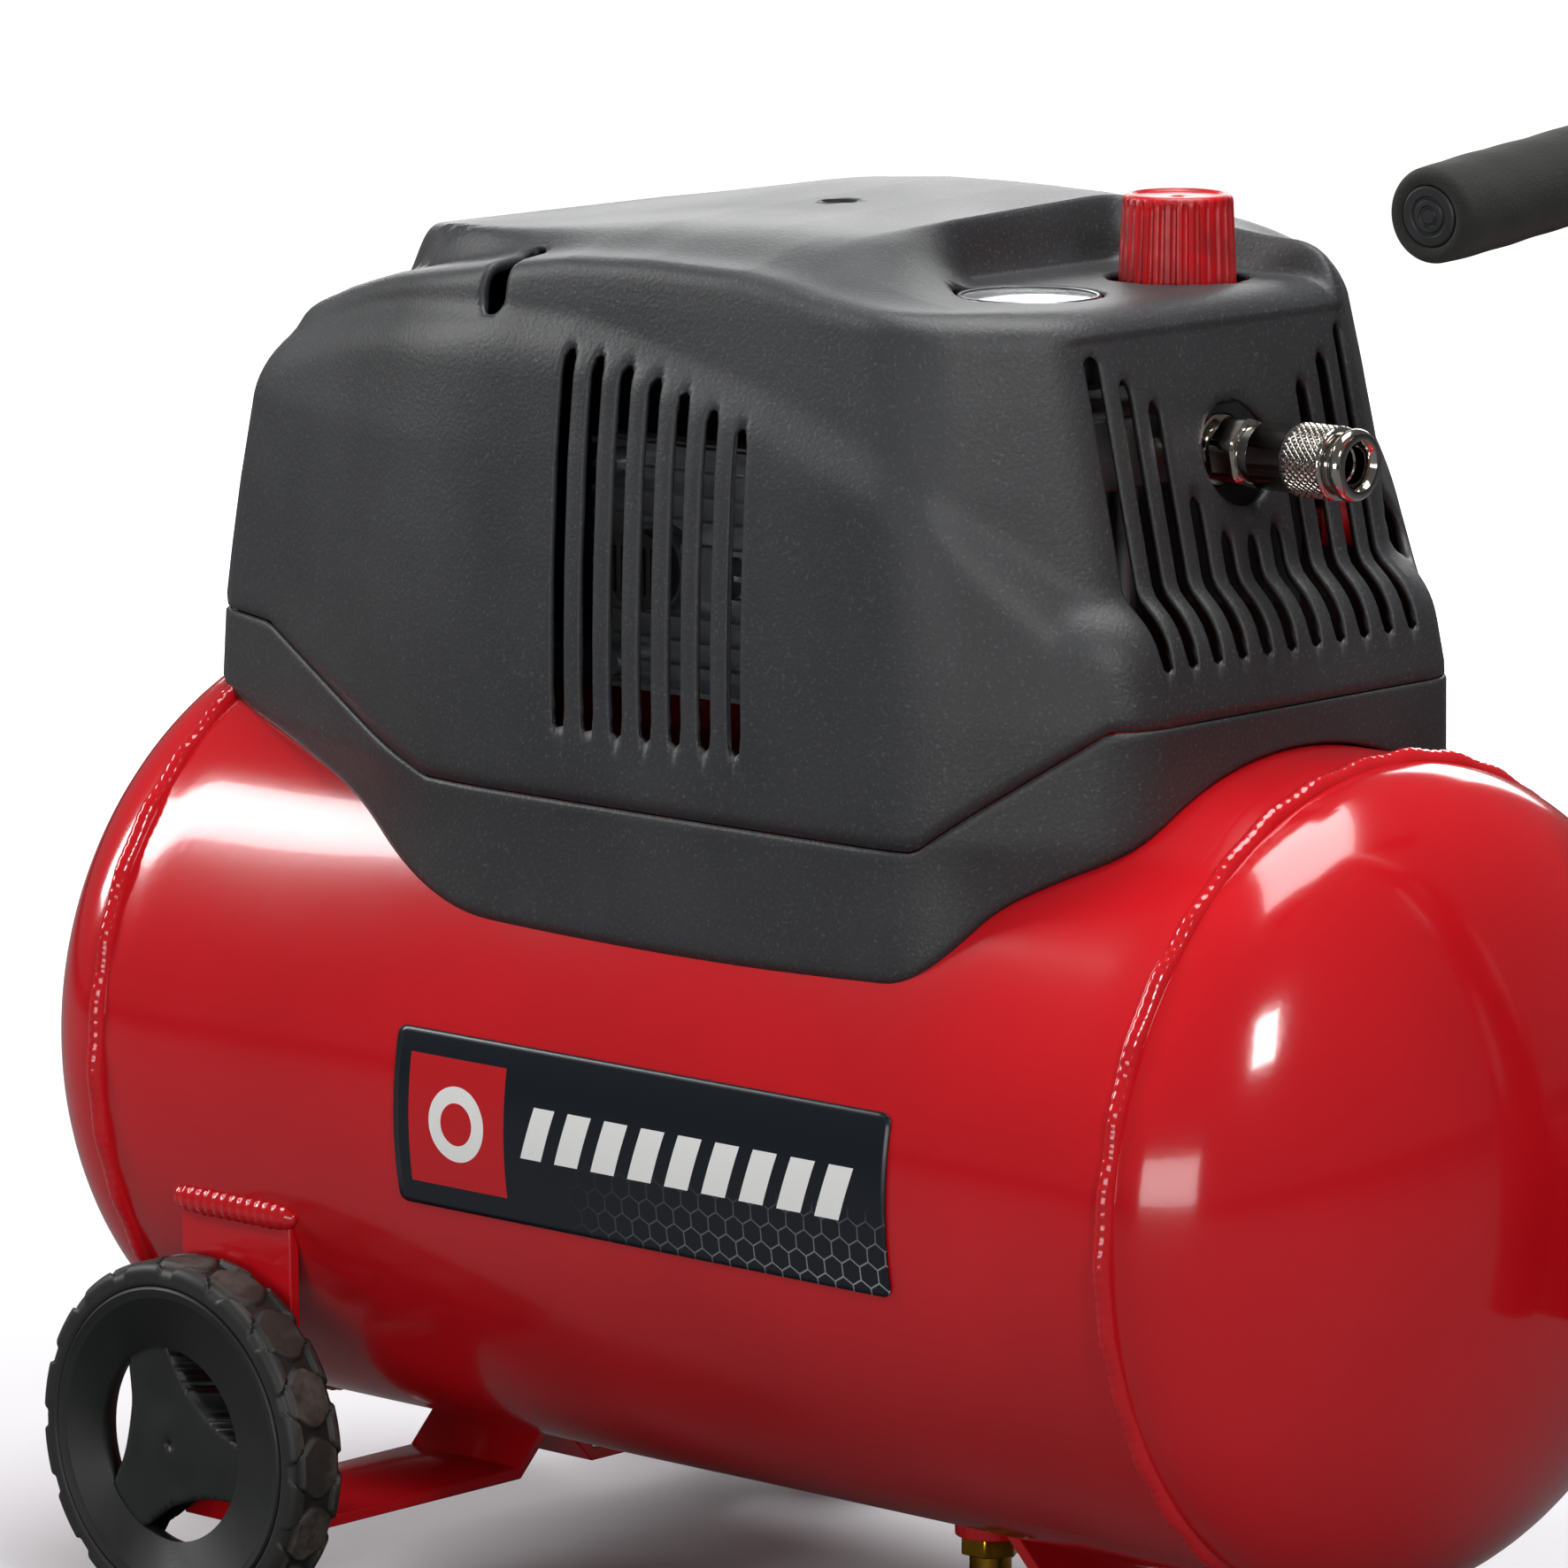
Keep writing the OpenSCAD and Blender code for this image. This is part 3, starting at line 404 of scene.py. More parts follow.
def build_materials():
    """Every finish by the record's slot name, and each CAD node's slots set to it."""
    tank, cover = bpy.context.scene.tank_look, bpy.context.scene.cover_look
    red, shade = tank.enamel, tank.enamel_shade
    finishes = {
        "red_enamel": red_enamel(red, shade),
        "cover_plastic": spark_grained_abs(cover.colour, cover.colour_light),
        "label_film": printed_label("08101a", "c4141c"),
        "wheel_tread": dusty_tread(),
        # satin moulded polypropylene: soft sheen, very fine even grain
        "wheel_plastic": surface("moulded_polypropylene", "111312", "171918", 0.5, 0.9, 0.03, 20)[0],
        # closed-cell foam: no gloss at all, pores of half a millimetre
        "black_foam": surface("closed_cell_foam", "1d1e1b", "262723", 0.95, 0.9, 0.16, 12,
                              kind="cells", Sheen_Weight=0.06, Sheen_Roughness=0.6)[0],
        # moulded rubber: matt, slightly greyed
        "black_rubber": surface("moulded_rubber", "1a1a1a", "242423", 0.75, 1.6, 0.05, 18)[0],
        # glass-filled nylon: dull with a mottled grain
        "black_nylon": surface("filled_nylon", "17181a", "1f2022", 0.48, 0.8, 0.03, 14)[0],
        # turned brass: yellow metal with fine tool lines, dulled by handling
        "turned_brass": surface("turned_brass", "c79a2c", "9c7426", 0.24, 0.7, 0.012, 8, 1.0, 0.08)[0],
        # zinc plating on mild steel: grey, lightly clouded
        "zinc_steel": surface("zinc_plated_steel", "b9babd", "9a9ca0", 0.32, 1.2, 0.015, 10, 1.0)[0],
        # dark plated steel of the gauge's case
        "gauge_steel": surface("dark_plated_steel", "85878b", "6d6f73", 0.3, 1.2, 0.01, 12, 1.0)[0],
        # bright nickel plating: mirror-like with a warm tint and faint rub marks
        "nickel_plate": surface("bright_nickel_plate", "cfcac2", "b6b0a8", 0.12, 2.0, 0.006, 9, 1.0, 0.05)[0],
        # pressure die casting: light grey, fine cast skin
        "cast_aluminium": surface("die_cast_aluminium", "b4b6b8", "94969a", 0.42, 1.0, 0.05, 14, 1.0)[0],
        "can_aluminium": surface("drawn_aluminium", "c6c7c9", "b2b4b7", 0.28, 3.0, 0.01, 20, 1.0)[0],
        # laminated and turned steel, slightly oily
        "core_steel": surface("laminated_steel", "5c5e62", "46484b", 0.4, 0.7, 0.02, 10, 1.0)[0],
        # glossy red polyamide of the knob: coloured right through, light worn scuffs on the ribs
        "red_plastic": surface("red_polyamide", "c8121c", "a80e16", 0.38, 1.0, 0.035, 6, swing=0.08,
                               Subsurface_Weight=0.08, Subsurface_Scale=0.002)[0],
        # filled fluoropolymer of the piston's cup seal
        "seal_plastic": surface("filled_fluoropolymer", "3c3024", "2c241c", 0.5, 0.8, 0.02, 8)[0],
        # offset-printed aluminium dial, matt white
        "dial_face": surface("printed_dial", "f1f1ee", "e9e9e4", 0.45, 0.8, 0.005, 15)[0],
        "needle_paint": surface("black_needle_paint", "0e0e0f", "161617", 0.35, 0.8, 0.005, 6)[0],
        # moulded polycarbonate lens: clear, with a soft satin from fine scratches
        "gauge_glass": surface("polycarbonate_lens", "eef2f4", "f6f8f9", 0.12, 6.0, 0.02, 30, swing=0.04,
                               Transmission_Weight=0.86, IOR=1.58)[0],
    }
    for node, obj in frame["nodes"].items():
        for holder in obj.material_slots:
            holder.material = finishes[SLOT_OF[node]]
    return finishes


# ---- moulded shells ----

# outline of the lower body by height: left end, left corner, right corner, right end, half width
# at the sides, at the left end and at the right end
LOWER_Z = [56, 104, 138, 153, 174, 204, 228, 244, 262]
LOWER = {
    "x0": [-206, -220, -217.5, -215, -211, -204, -192, -184, -174],
    "xa": [-62, -79, -79, -79, -78, -76, -74, -72, -68],
    "xb": [112, 120, 120, 120, 119, 116, 112, 108, 103],
    "x1": [168, 176, 175.5, 172.5, 168, 163, 159, 155, 151],
    "yh": [106, 112, 112.5, 112.5, 112, 110.5, 108, 105, 100],
    "yl": [49, 60, 60, 60, 60, 60, 60, 59, 58],
    "yr": [62, 72, 72, 71, 69, 66, 63, 61, 59],
}
# the same for the narrower upper body that rises out of it
UPPER_Z = [138, 174, 204, 228, 250, 262, 290]
UPPER = {
    "x0": [-208, -203.5, -197, -185.5, -176, -169, -150],
    "xa": [-77, -76, -75, -73, -70, -66, -58],
    "xb": [123, 119, 116, 112, 107, 102, 92],
    "x1": [168, 160, 153, 147.5, 142, 138, 131],
    "yh": [110.5, 109, 106.5, 103.5, 100.3, 98, 92],
    "yl": [56, 57, 57, 57, 57, 56, 52],
    "yr": [62, 62, 62, 62, 62, 61, 55],
}


def smooth_max(a, b, k):
    """The larger of two fields, rounded over a band k wide where they are equal."""
    h = np.clip(0.5 + 0.5 * (a - b) / k, 0, 1)
    return b * (1 - h) + a * h + k * h * (1 - h)


def smooth_min(a, b, k):
    """The smaller of two fields, filled over a band k wide where they are equal."""
    return -smooth_max(-a, -b, k)


def step(value):
    """0 below 0, 1 above 1, and smooth between."""
    v = np.clip(value, 0, 1)
    return v * v * (3 - 2 * v)


def walls(x, y, z, heights, table, corner):
    """How far a point lies outside an eight-sided outline whose corners move with height."""
    p = {key: np.interp(z, heights, row) for key, row in table.items()}
    side = np.abs(y)
    out = side - p["yh"] + 0.00012 * (x - 20) ** 2
    for end, corner_x, half, sign in (("x1", "xb", "yr", 1), ("x0", "xa", "yl", -1)):
        run, rise = sign * (p[end] - p[corner_x]), p["yh"] - p[half]
        slant = (sign * (x - p[corner_x]) * rise + (side - p["yh"]) * run) / np.hypot(run, rise)
        out = smooth_max(out, slant, corner)
        out = smooth_max(out, sign * (x - p[end]), corner)
    return out


def roof(x, y):
    """Height of the top: a low terrace at the left end, the crowned main roof, and a sunk panel."""
    low = np.interp(x, [-190, -183, -150, -120, -92, -60, -30, 0, 40, 60, 81, 104, 122, 136, 150],
                    [226, 229.5, 240, 247.5, 254, 261, 265, 266.5, 266, 264, 261.5, 258, 255.5, 254, 252])
    crown = np.interp(x, [-150, -60, 0, 60, 120], [1.5, 3, 4.5, 4, 1])
    low = low + crown * (1 - np.clip(np.abs(y) / 92, 0, 1) ** 2.5)
    high = np.interp(x, [-175, -150, -127, -60, -20, 20, 60, 90],
                     [246, 255, 261, 268.5, 272, 273, 272.5, 268])
    reach = (np.clip((20 - x) / 184, 0, None) ** 2.4 + (np.abs(y) / 88) ** 2.4) ** (1 / 2.4)
    rise = np.clip((1 - reach) / (0.075 + 0.5 * step((x + 110) / 150)), 0, 1)
    top = low + np.maximum(high - low, 0) * (1 - (1 - step(rise)) ** 2)
    top = top + 0.035 * y * step((x + 130) / 80) * step((118 - x) / 50)
    inside = smooth_min(x - 52.0, 62.0 - y, 9.0)
    spread = 7.0 + 0.9 * np.clip(-15 - y, 0, 60)
    return top + np.minimum(PANEL_Z - top, 0) * step(inside / spread)


PANEL_Z = 255.0


def crease_height(x, y):
    """Height at which the lower body's shoulder meets the upper body's wall."""
    along = np.interp(x, [-200, -183, -130, -101, -57, -21, 2, 60, 107, 120, 135, 152],
                      [221, 224, 236, 241, 244.5, 243.5, 240, 226.5, 211, 204, 190, 174])
    round_end = np.interp(np.abs(y), [0, 58, 82, 100, 106, 112], [174, 174, 189, 203, 212, 260])
    return np.minimum(along, round_end + np.clip((112 - x) * 5, 0, 200))


def body_field(p):
    """Field that is 0 on the moulding's outer face, negative inside.

    It is the smooth union of an upper body, walls under a roof, and a lower body, wider walls
    under a shoulder that falls away from the crease.
    """
    x, y, z = p[..., 0], p[..., 1], p[..., 2]
    inset = 0.9 * step((247 - z) / 0.8 + 0.5) * step((61 - np.abs(y)) / 1.5) * step((x - 118) / 4)
    upper_wall = walls(x, y, z, UPPER_Z, UPPER, 11.0) + inset
    upper = smooth_max(upper_wall, z - roof(x, y), 6.0 + 5.0 * step((x - 95) / 30))
    shoulder = 0.7 * (z - crease_height(x, y)) + 0.71 * upper_wall
    lower = smooth_max(walls(x, y, z, LOWER_Z, LOWER, 11.0), shoulder, 6.0)
    lower = smooth_max(lower, z - roof(x, y) + 3, 4.0)
    return smooth_min(upper, lower, 2.0)


def belt(x):
    """Height of the parting line between the cover and the base shell."""
    return np.interp(x, [-260, -180, -79, 120, 168, 260], [134, 134, 101, 101, 138, 138])


INNER_LOW, INNER_HIGH = np.array([-110.0, -68, -1e3]), np.array([95.0, 68, 240])
OUTER_LOW, OUTER_HIGH = np.array([-230.0, -125, 0]), np.array([185.0, 125, 290])


def on_body(q):
    """Carries points of an outer box on to the moulding.

    Each point looks away from the nearest point of an inner box; where that ray leaves the
    field is found by halving. In the middle of a side this keeps x, y or z as it is.
    """
    base = np.clip(q, INNER_LOW, INNER_HIGH)
    ray = q - base
    ray = ray / np.linalg.norm(ray, axis=-1, keepdims=True)
    near, far = np.zeros(q.shape[:-1]), np.full(q.shape[:-1], 240.0)
    for _ in range(34):
        mid = (near + far) / 2
        inside = body_field(base + mid[..., None] * ray) < 0
        near, far = np.where(inside, mid, near), np.where(inside, far, mid)
    return base + near[..., None] * ray


def slope_of(field, p, h=0.02):
    """Gradient of a field at points, by small differences along each axis."""
    here = field(p)
    return here, np.stack([(field(p + h * axis) - here) / h for axis in np.eye(3)], -1)


def wrapped(xs, ys, low, high, rows, top_rows=None):
    """Side grids, and the roof's where top_rows is given, round the moulding as one merged mesh.

    The rows run between two heights that may follow x and y, settled by repeating the carry.
    """
    xl, yl, xh, yh = OUTER_LOW[0], OUTER_LOW[1], OUTER_HIGH[0], OUTER_HIGH[1]
    loop = np.concatenate([
        np.stack([xs, np.full_like(xs, yl)], -1)[:-1], np.stack([np.full_like(ys, xh), ys], -1)[:-1],
        np.stack([xs[::-1], np.full_like(xs, yh)], -1)[:-1],
        np.stack([np.full_like(ys, xl), ys[::-1]], -1)[:-1]])
    share = 1 - (1 - np.linspace(0, 1, rows)[:, None]) ** 1.25
    q = np.zeros((rows, len(loop), 3))
    q[..., :2] = loop
    q[..., 2] = 150
    for _ in range(4):
        p = on_body(q)
        q[..., 2] = low(p) * (1 - share) + high(p) * share
    if top_rows is not None:
        extra = np.zeros((len(top_rows), len(loop), 3))
        extra[..., :2] = loop
        extra[..., 2] = top_rows[:, None]
        q = np.concatenate([q, extra])
    points = on_body(q)
    parts = [(points.reshape(-1, 3), grid(q.shape[0], len(loop), close_cols=True))]
    if top_rows is not None:
        roof_q = np.stack(np.broadcast_arrays(xs[None, :], ys[:, None], OUTER_HIGH[2]), -1)
        parts.append((on_body(roof_q).reshape(-1, 3), grid(len(ys), len(xs))))
    p, f = join(*parts)
    _, first, index = np.unique(np.round(p * 200).astype(np.int64), axis=0,
                                return_index=True, return_inverse=True)
    return p[first], index.reshape(-1)[f]


def trimmed(points, quads, inside):
    """Drops quads with corners marked inside, keeps the triangle left where only one is, and
    drops the points that nothing uses."""
    count = inside.sum(1)
    groups = [quads[count == 0]]
    for k in range(4):
        groups.append(np.roll(quads[(count == 1) & inside[:, k]], -1 - k, axis=1)[:, :3])
    used = np.unique(np.concatenate([g.ravel() for g in groups]))
    return points[used], [face for g in groups for face in np.searchsorted(used, g).tolist()]


def cut_out(p, quads, cutter):
    """Takes out the faces inside a cutter's field and moves points on to its outline.

    On every edge that crosses the outline the nearer point is moved on to it, along the
    cutter's slope, and back on to the moulding; a face with one corner inside keeps its rest.
    """
    d, g = slope_of(cutter, p)
    a, b = quads.ravel(), np.roll(quads, -1, axis=1).ravel()
    cross = d[a] * d[b] < 0
    pick = np.where(np.abs(d[a]) < np.abs(d[b]), a, b)[cross]
    pick = np.unique(pick)
    p = p.copy()
    p[pick] -= (d[pick, None] * g[pick])
    for _ in range(3):
        f, s = slope_of(body_field, p[pick])
        p[pick] -= f[:, None] * s / np.maximum((s * s).sum(-1, keepdims=True), 0.2)
    d[pick] = 0
    return trimmed(p, quads, d[quads] < -1e-3)


def roll_edges(mesh, depth):
    """Sinks the points on open edges by depth metres along their normals, as a rounded lip.

    An edge is open where only one face uses it; new point = point - depth * normal.
    """
    ends = np.empty(len(mesh.edges) * 2, np.int32)
    users = np.empty(len(mesh.loops), np.int32)
    mesh.edges.foreach_get("vertices", ends)
    mesh.loops.foreach_get("edge_index", users)
    lip = np.unique(ends.reshape(-1, 2)[np.bincount(users, minlength=len(mesh.edges)) == 1])
    points, normals = np.empty((2, len(mesh.vertices) * 3), np.float32)
    mesh.vertices.foreach_get("co", points)
    mesh.vertex_normals.foreach_get("vector", normals)
    points.reshape(-1, 3)[lip] -= depth * normals.reshape(-1, 3)[lip]
    mesh.vertices.foreach_set("co", points)
    mesh.update()


def outward(mesh):
    """Turns an open shell's faces outwards if most of them look inwards."""
    count = len(mesh.polygons)
    centres, normals = np.empty(count * 3), np.empty(count * 3)
    mesh.polygons.foreach_get("center", centres)
    mesh.polygons.foreach_get("normal", normals)
    away = centres.reshape(-1, 3) - place([0, 0, 150])
    if (away * normals.reshape(-1, 3)).sum() < 0:
        mesh.flip_normals()


def lines(*pieces):
    """Sorted grid lines without near doubles."""
    values = np.sort(np.concatenate([np.atleast_1d(np.asarray(p, float)) for p in pieces]))
    return values[np.concatenate([[True], np.diff(values) > 0.3])]


def slot_lines(centres, half):
    """Grid lines at each slot's edges, just outside them and along its middle."""
    offsets = np.array([-half - 0.9, -half, -half * 0.55, 0, half * 0.55, half, half + 0.9])
    return (np.asarray(centres)[:, None] + offsets).ravel()


def build_cover(look, finishes):
    """The moulded cover: the field's surface above the parting line, cut by its slots and holes."""
    half = look.slot_width * 500
    side = 17.2 + 11.9 * np.arange(-3, 4)
    back = side - 62.2
    n = np.arange(7)
    side_top = 234 - 0.9 * n - 0.34 * n ** 2
    ends = 11.2 * np.arange(-5, 6)
    end_top = np.array([184, 186, 197, 225.6, 232.5, 240])[np.abs(np.arange(-5, 6))]
    gauge, knob, button = (tank_mm(middle(n)) for n in ("gauge_case", "regulator_knob", "switch_button"))
    screw = tank_mm(middle("cover_screw"))
    gauge_r = float(np.ptp(np.stack(span("gauge_case")), axis=0)[0]) * 500 + 0.8
    knob_r = float(np.ptp(np.stack(span("regulator_knob")), axis=0)[0]) * 500 + 3.3
    port = tank_mm(middle("coupler_body"))
    turn = math.radians(38.8)
    aim = np.array([math.cos(turn), math.sin(turn), 0.0])

    def cutter(p):
        x, y, z = p[..., 0], p[..., 1], p[..., 2]
        out = np.full(x.shape, 60.0)
        for c, b, top in zip(side, back, side_top):
            past = np.clip(z - top, 0, None) + np.clip(122 + half - z, 0, None)
            out = np.where(y < -85, np.minimum(out, np.hypot(x - c, past) - half), out)
            out = np.where(y > 85, np.minimum(out, np.hypot(x - b, past) - half), out)
        for c, top in zip(ends, end_top):
            past = np.clip(z - top, 0, None) + np.clip(153 + half - z, 0, None)
            out = np.where(x > 120, np.minimum(out, np.hypot(y - c, past) - half), out)
        out = np.where(x > 120, np.minimum(out, np.hypot(y - port[1], z - port[2]) - 15.5), out)
        high = z > 250
        out = np.where(high, np.minimum(out, np.hypot(x - gauge[0], y - gauge[1]) - gauge_r), out)
        out = np.where(high, np.minimum(out, np.hypot(x - knob[0], y - knob[1]) - knob_r), out)
        out = np.where(high, np.minimum(out, np.hypot(x - screw[0], y - screw[1]) - 5.5), out)
        notch = np.sqrt((x + 57) ** 2 + np.clip(248 - z, 0, None) ** 2
                        + np.clip(84 - np.abs(y), 0, None) ** 2) - 5.3
        out = np.where(z > 230, np.minimum(out, notch), out)
        off = p - button
        axial = (off * aim).sum(-1)
        ring = np.sqrt(np.maximum((off ** 2).sum(-1) - axial ** 2, 0)) - 12
        return np.where((y > 40) & (x > 90), np.minimum(out, ring), out)

    xs = lines(np.linspace(-230, -178, 7), np.arange(-174, -110, 4), np.arange(-106, -90, 5),
               [-64, -62.3, -60, -57, -54, -51.7, -50], slot_lines(back, half),
               slot_lines(side, half), side[3:] + 5.95, np.arange(62, 95, 2.6),
               [50, 52, 53.5, 55, 56.5, 58, 60], np.linspace(95, 185, 20),
               screw[0] + np.array([-5.5, -2, 2, 5.5]))
    ys = lines(np.linspace(-125, -100, 6), np.linspace(-97, -68, 9), np.linspace(68, 97, 9),
               np.linspace(100, 125, 6), slot_lines(ends, half), ends[:-1] + 5.6,
               [-64, 60, 61.2, 62.6, 64.5], [screw[1]])
    roof_rows = np.array([241, 243, 245.5, 248, 250.5, 253, 255, 257, 259, 262, 266, 271, 277, 283, 290.0])
    p, quads = wrapped(xs, ys, lambda q: belt(q[..., 0]) + 0.25, lambda q: 0 * q[..., 0] + 240,
                       38, roof_rows)
    p, faces = cut_out(p, quads, cutter)
    cover = make_piece("moulded_cover", p, faces, finishes["cover_plastic"],
                       stands_for=("top_cover",), crease=60)
    outward(cover.data)
    roll_edges(cover.data, 0.0005)
    shell(cover, look.wall)
    # the screw's pocket under the roof
    top = roof(screw[0], screw[1])
    pocket = [(0.2, 5.4), (-3.9, 5.2), (-4.6, 4.6), (-4.6, 2.8), (-6.2, 2.8), (-6.2, 6.8), (-0.6, 6.9)]
    pts, _ = turned([(top - 0.2 + a, r) for a, r in pocket], 40, (0, 0, 1), (screw[0], screw[1], 0))
    cup = make_piece("screw_pocket", pts, grid(len(pocket), 40, close_rows=True, close_cols=True),
                     finishes["cover_plastic"])
    clean(cup)
    return cover


def build_base(look, finishes):
    """The base shell: the same field below the parting line, down to where it hugs the tank."""
    def bottom(q):
        hug = np.sqrt(np.maximum((TANK_R + 0.5) ** 2 - q[..., 1] ** 2, 0))
        return np.maximum(56.0, hug)

    def top(q):
        return np.maximum(belt(q[..., 0]) - 0.25, bottom(q) + 1)

    xs = lines(np.linspace(-230, -110, 24), np.linspace(-110, 95, 52), np.linspace(95, 185, 20))
    ys = lines(np.linspace(-125, -68, 14), np.linspace(-68, 68, 36), np.linspace(68, 125, 14))
    p, quads = wrapped(xs, ys, bottom, top, 16)
    base = make_piece("base_shell_looks", p, quads, finishes["cover_plastic"],
                      stands_for=("base_shell",), crease=60)
    outward(base.data)
    roll_edges(base.data, 0.0006)
    shell(base, look.wall)
    return base


# ---- tank ----


def build_tank(look, finishes):
    """Shell and both domes as one turned skin, its radius drawn in beside each weld and rippled.

    r = profile - neck * exp(-(distance from seam / 9 mm)^2) + ripple * three crossed waves.
    """
    red = finishes["red_enamel"]
    a = np.radians(np.linspace(90, 4, 34))
    dome = np.stack([TANK_HALF + DOME_H * np.sin(a) ** 1.0, TANK_R * np.cos(a)], -1)
    shell_part = np.stack([np.linspace(TANK_HALF, -TANK_HALF, 90), np.full(90, TANK_R)], -1)
    profile = np.concatenate([dome, shell_part, dome[::-1] * [-1, 1]])
    ripple = look.ripple * 1000

    def radius(t, x, r):
        seam = np.exp(-((np.abs(x) - TANK_HALF) / 9.0) ** 2)
        wave = (np.sin(3 * t + x * 0.021) + 0.7 * np.sin(5 * t - x * 0.034 + 1.1)
                + 0.5 * np.sin(2 * t + x * 0.055 + 2.3))
        return r - 0.7 * seam + ripple * wave * (r / TANK_R) ** 2

    points, faces = turned(profile, 288, (1, 0, 0), (0, 0, 0), radius)
    tank = make_piece("pressure_tank", points, faces, red,
                      stands_for=("tank_shell", "rear_dome", "front_dome"), crease=60)
    clean(tank, 2e-5)
    beads = []
    for end in (-1, 1):
        ring = arc((end * TANK_HALF, TANK_R - 1.0), 1.0, 0, 360, 15)[:-1]

        def lapped(t, x, r, end=end):
            size = 1 + 0.12 * np.sin(t * 37) + 0.1 * np.abs(np.sin(t * 105)) + 0.08 * np.sin(t * 11 + 1)
            return TANK_R - 1.0 + (r - TANK_R + 1.0) * 3.2 * size + 0.35 * np.sin(t * 9)

        ring[:, 0] = end * TANK_HALF + (ring[:, 0] - end * TANK_HALF) * 3.0
        pts, _ = turned(ring, 900, (1, 0, 0), (0, 0, 0), lapped)
        beads.append((pts, grid(len(ring), 900, close_rows=True, close_cols=True)))
    pts, fcs = join(*beads)
    clean(make_piece("seam_welds", pts, fcs, red, stands_for=("weld_beads",), crease=70))
    return tank


def build_label(look, finishes):
    """Label film bent to the tank: a rounded rectangle on a grid of length and arc, 0.3 mm thick."""
    low, high = span("front_label")
    x0, x1 = tank_mm(low)[0], tank_mm(high)[0]
    u, v = np.meshgrid(np.linspace(0, 1, 81), np.linspace(0, 1, 31))
    tall = math.asin((high[2] - low[2]) * 500 / TANK_R)
    length, height = x1 - x0, 2 * tall * TANK_R
    px, py = (u - 0.5) * length, (v - 0.5) * height
    # square corners drawn in to a 3 mm radius
    cx = np.maximum(np.abs(px) - (length / 2 - 3), 0)
    cy = np.maximum(np.abs(py) - (height / 2 - 3), 0)
    past = np.maximum(np.hypot(cx, cy), 1e-6) / np.maximum(np.maximum(cx, cy), 1e-6)
    over = np.where((cx > 0) & (cy > 0), past, 1)
    px = np.where(over > 1, np.sign(px) * (length / 2 - 3 + cx / over), px)
    py = np.where(over > 1, np.sign(py) * (height / 2 - 3 + cy / over), py)
    angle = py / TANK_R
    r = TANK_R + 0.25 + 2.0 * look.ripple * 1000
    points = np.stack([(x0 + x1) / 2 + px, -r * np.cos(angle), r * np.sin(angle)], -1).reshape(-1, 3)
    uv = np.stack([px / length + 0.5, py / height + 0.5], -1).reshape(-1, 2)
    film = make_piece("tank_label", points, grid(31, 81), finishes["label_film"],
                      stands_for=("front_label",), uv=uv)
    wall = film.modifiers.new("Film", "SOLIDIFY")
    wall.thickness = 0.0003
    wall.offset = 1 if film.data.polygons[0].normal.y < 0 else -1
    return film


# ---- wheels ----


def wheel_rim(name, side, finishes):
    """Three-spoked rim: a disc grid of radius and angle, its windows cut by smooth fields.

    The front face sinks a little between the outer ring and the hub; the wall is a Solidify.
    """
    low, high = (tank_mm(c) for c in span(name))
    centre = (low + high) / 2
    rim_r = (high[0] - low[0]) / 2
    outer = high[1] if side > 0 else low[1]
    inner = low[1] if side > 0 else high[1]
    window_r = rim_r - 7.5
    turn = math.radians(110)
    radii = np.concatenate([[0.4], np.linspace(3, window_r - 1.6, 22),
                            window_r + np.array([-0.8, 0, 0.8, 2]), rim_r - np.array([3, 1.2, 0.3, 0])])
    t = np.linspace(0, 2 * np.pi, 240, endpoint=False)
    rr, tt = np.meshgrid(radii, t, indexing="ij")
    u, w = rr * np.cos(tt), rr * np.sin(tt)

    def windows(p):
        u, w = p[..., 0], p[..., 1]
        arms = 15.0 - np.hypot(u, w)
        for k in range(3):
            a = turn + k * 2 * math.pi / 3
            along = u * math.cos(a) + w * math.sin(a)
            across = np.abs(-u * math.sin(a) + w * math.cos(a))
            half = 16.5 - 10.2 * np.clip(along / window_r, 0, 1) ** 0.9
            arms = smooth_max(arms, np.where(along > -4, half - across, -20 + 0 * u), 7.0)
        return smooth_max(np.hypot(u, w) - window_r, arms, 3.0)

    flat = np.stack([u, w, 0 * u], -1).reshape(-1, 3)
    quads = grid(len(radii), len(t), close_cols=True)
    d, g = slope_of(windows, flat)
    a, b = quads.ravel(), np.roll(quads, -1, axis=1).ravel()
    cross = d[a] * d[b] < 0
    pick = np.unique(np.where(np.abs(d[a]) < np.abs(d[b]), a, b)[cross])
    g /= np.maximum(np.linalg.norm(g, axis=1, keepdims=True), 0.3)
    flat[pick] -= d[pick, None] * g[pick]
    d[pick] = 0
    flat, faces = trimmed(flat, quads, d[quads] < -1e-3)
    dist = np.hypot(flat[:, 0], flat[:, 1])
    sink = 1.6 * step((rim_r - 1 - dist) / 4.0) - 0.7 * step((14 - dist) / 10)
    edge = np.where(dist > rim_r - 1.3, (dist - rim_r + 1.3) ** 2 * 0.5, 0)
    y = outer - side * (sink + edge)
    points = np.stack([centre[0] + flat[:, 0], y, centre[2] + flat[:, 1]], -1)
    rim = make_piece(name + "_looks", points, faces, finishes["wheel_plastic"],
                     body=name.replace("_rim", ""), stands_for=(name,), crease=50)
    mesh = rim.data
    if mesh.polygons[0].normal.y * side < 0:
        mesh.flip_normals()
    roll_edges(mesh, 0.0004)
    shell(rim, (abs(outer - inner) - 2.6) / 1000)
    return rim


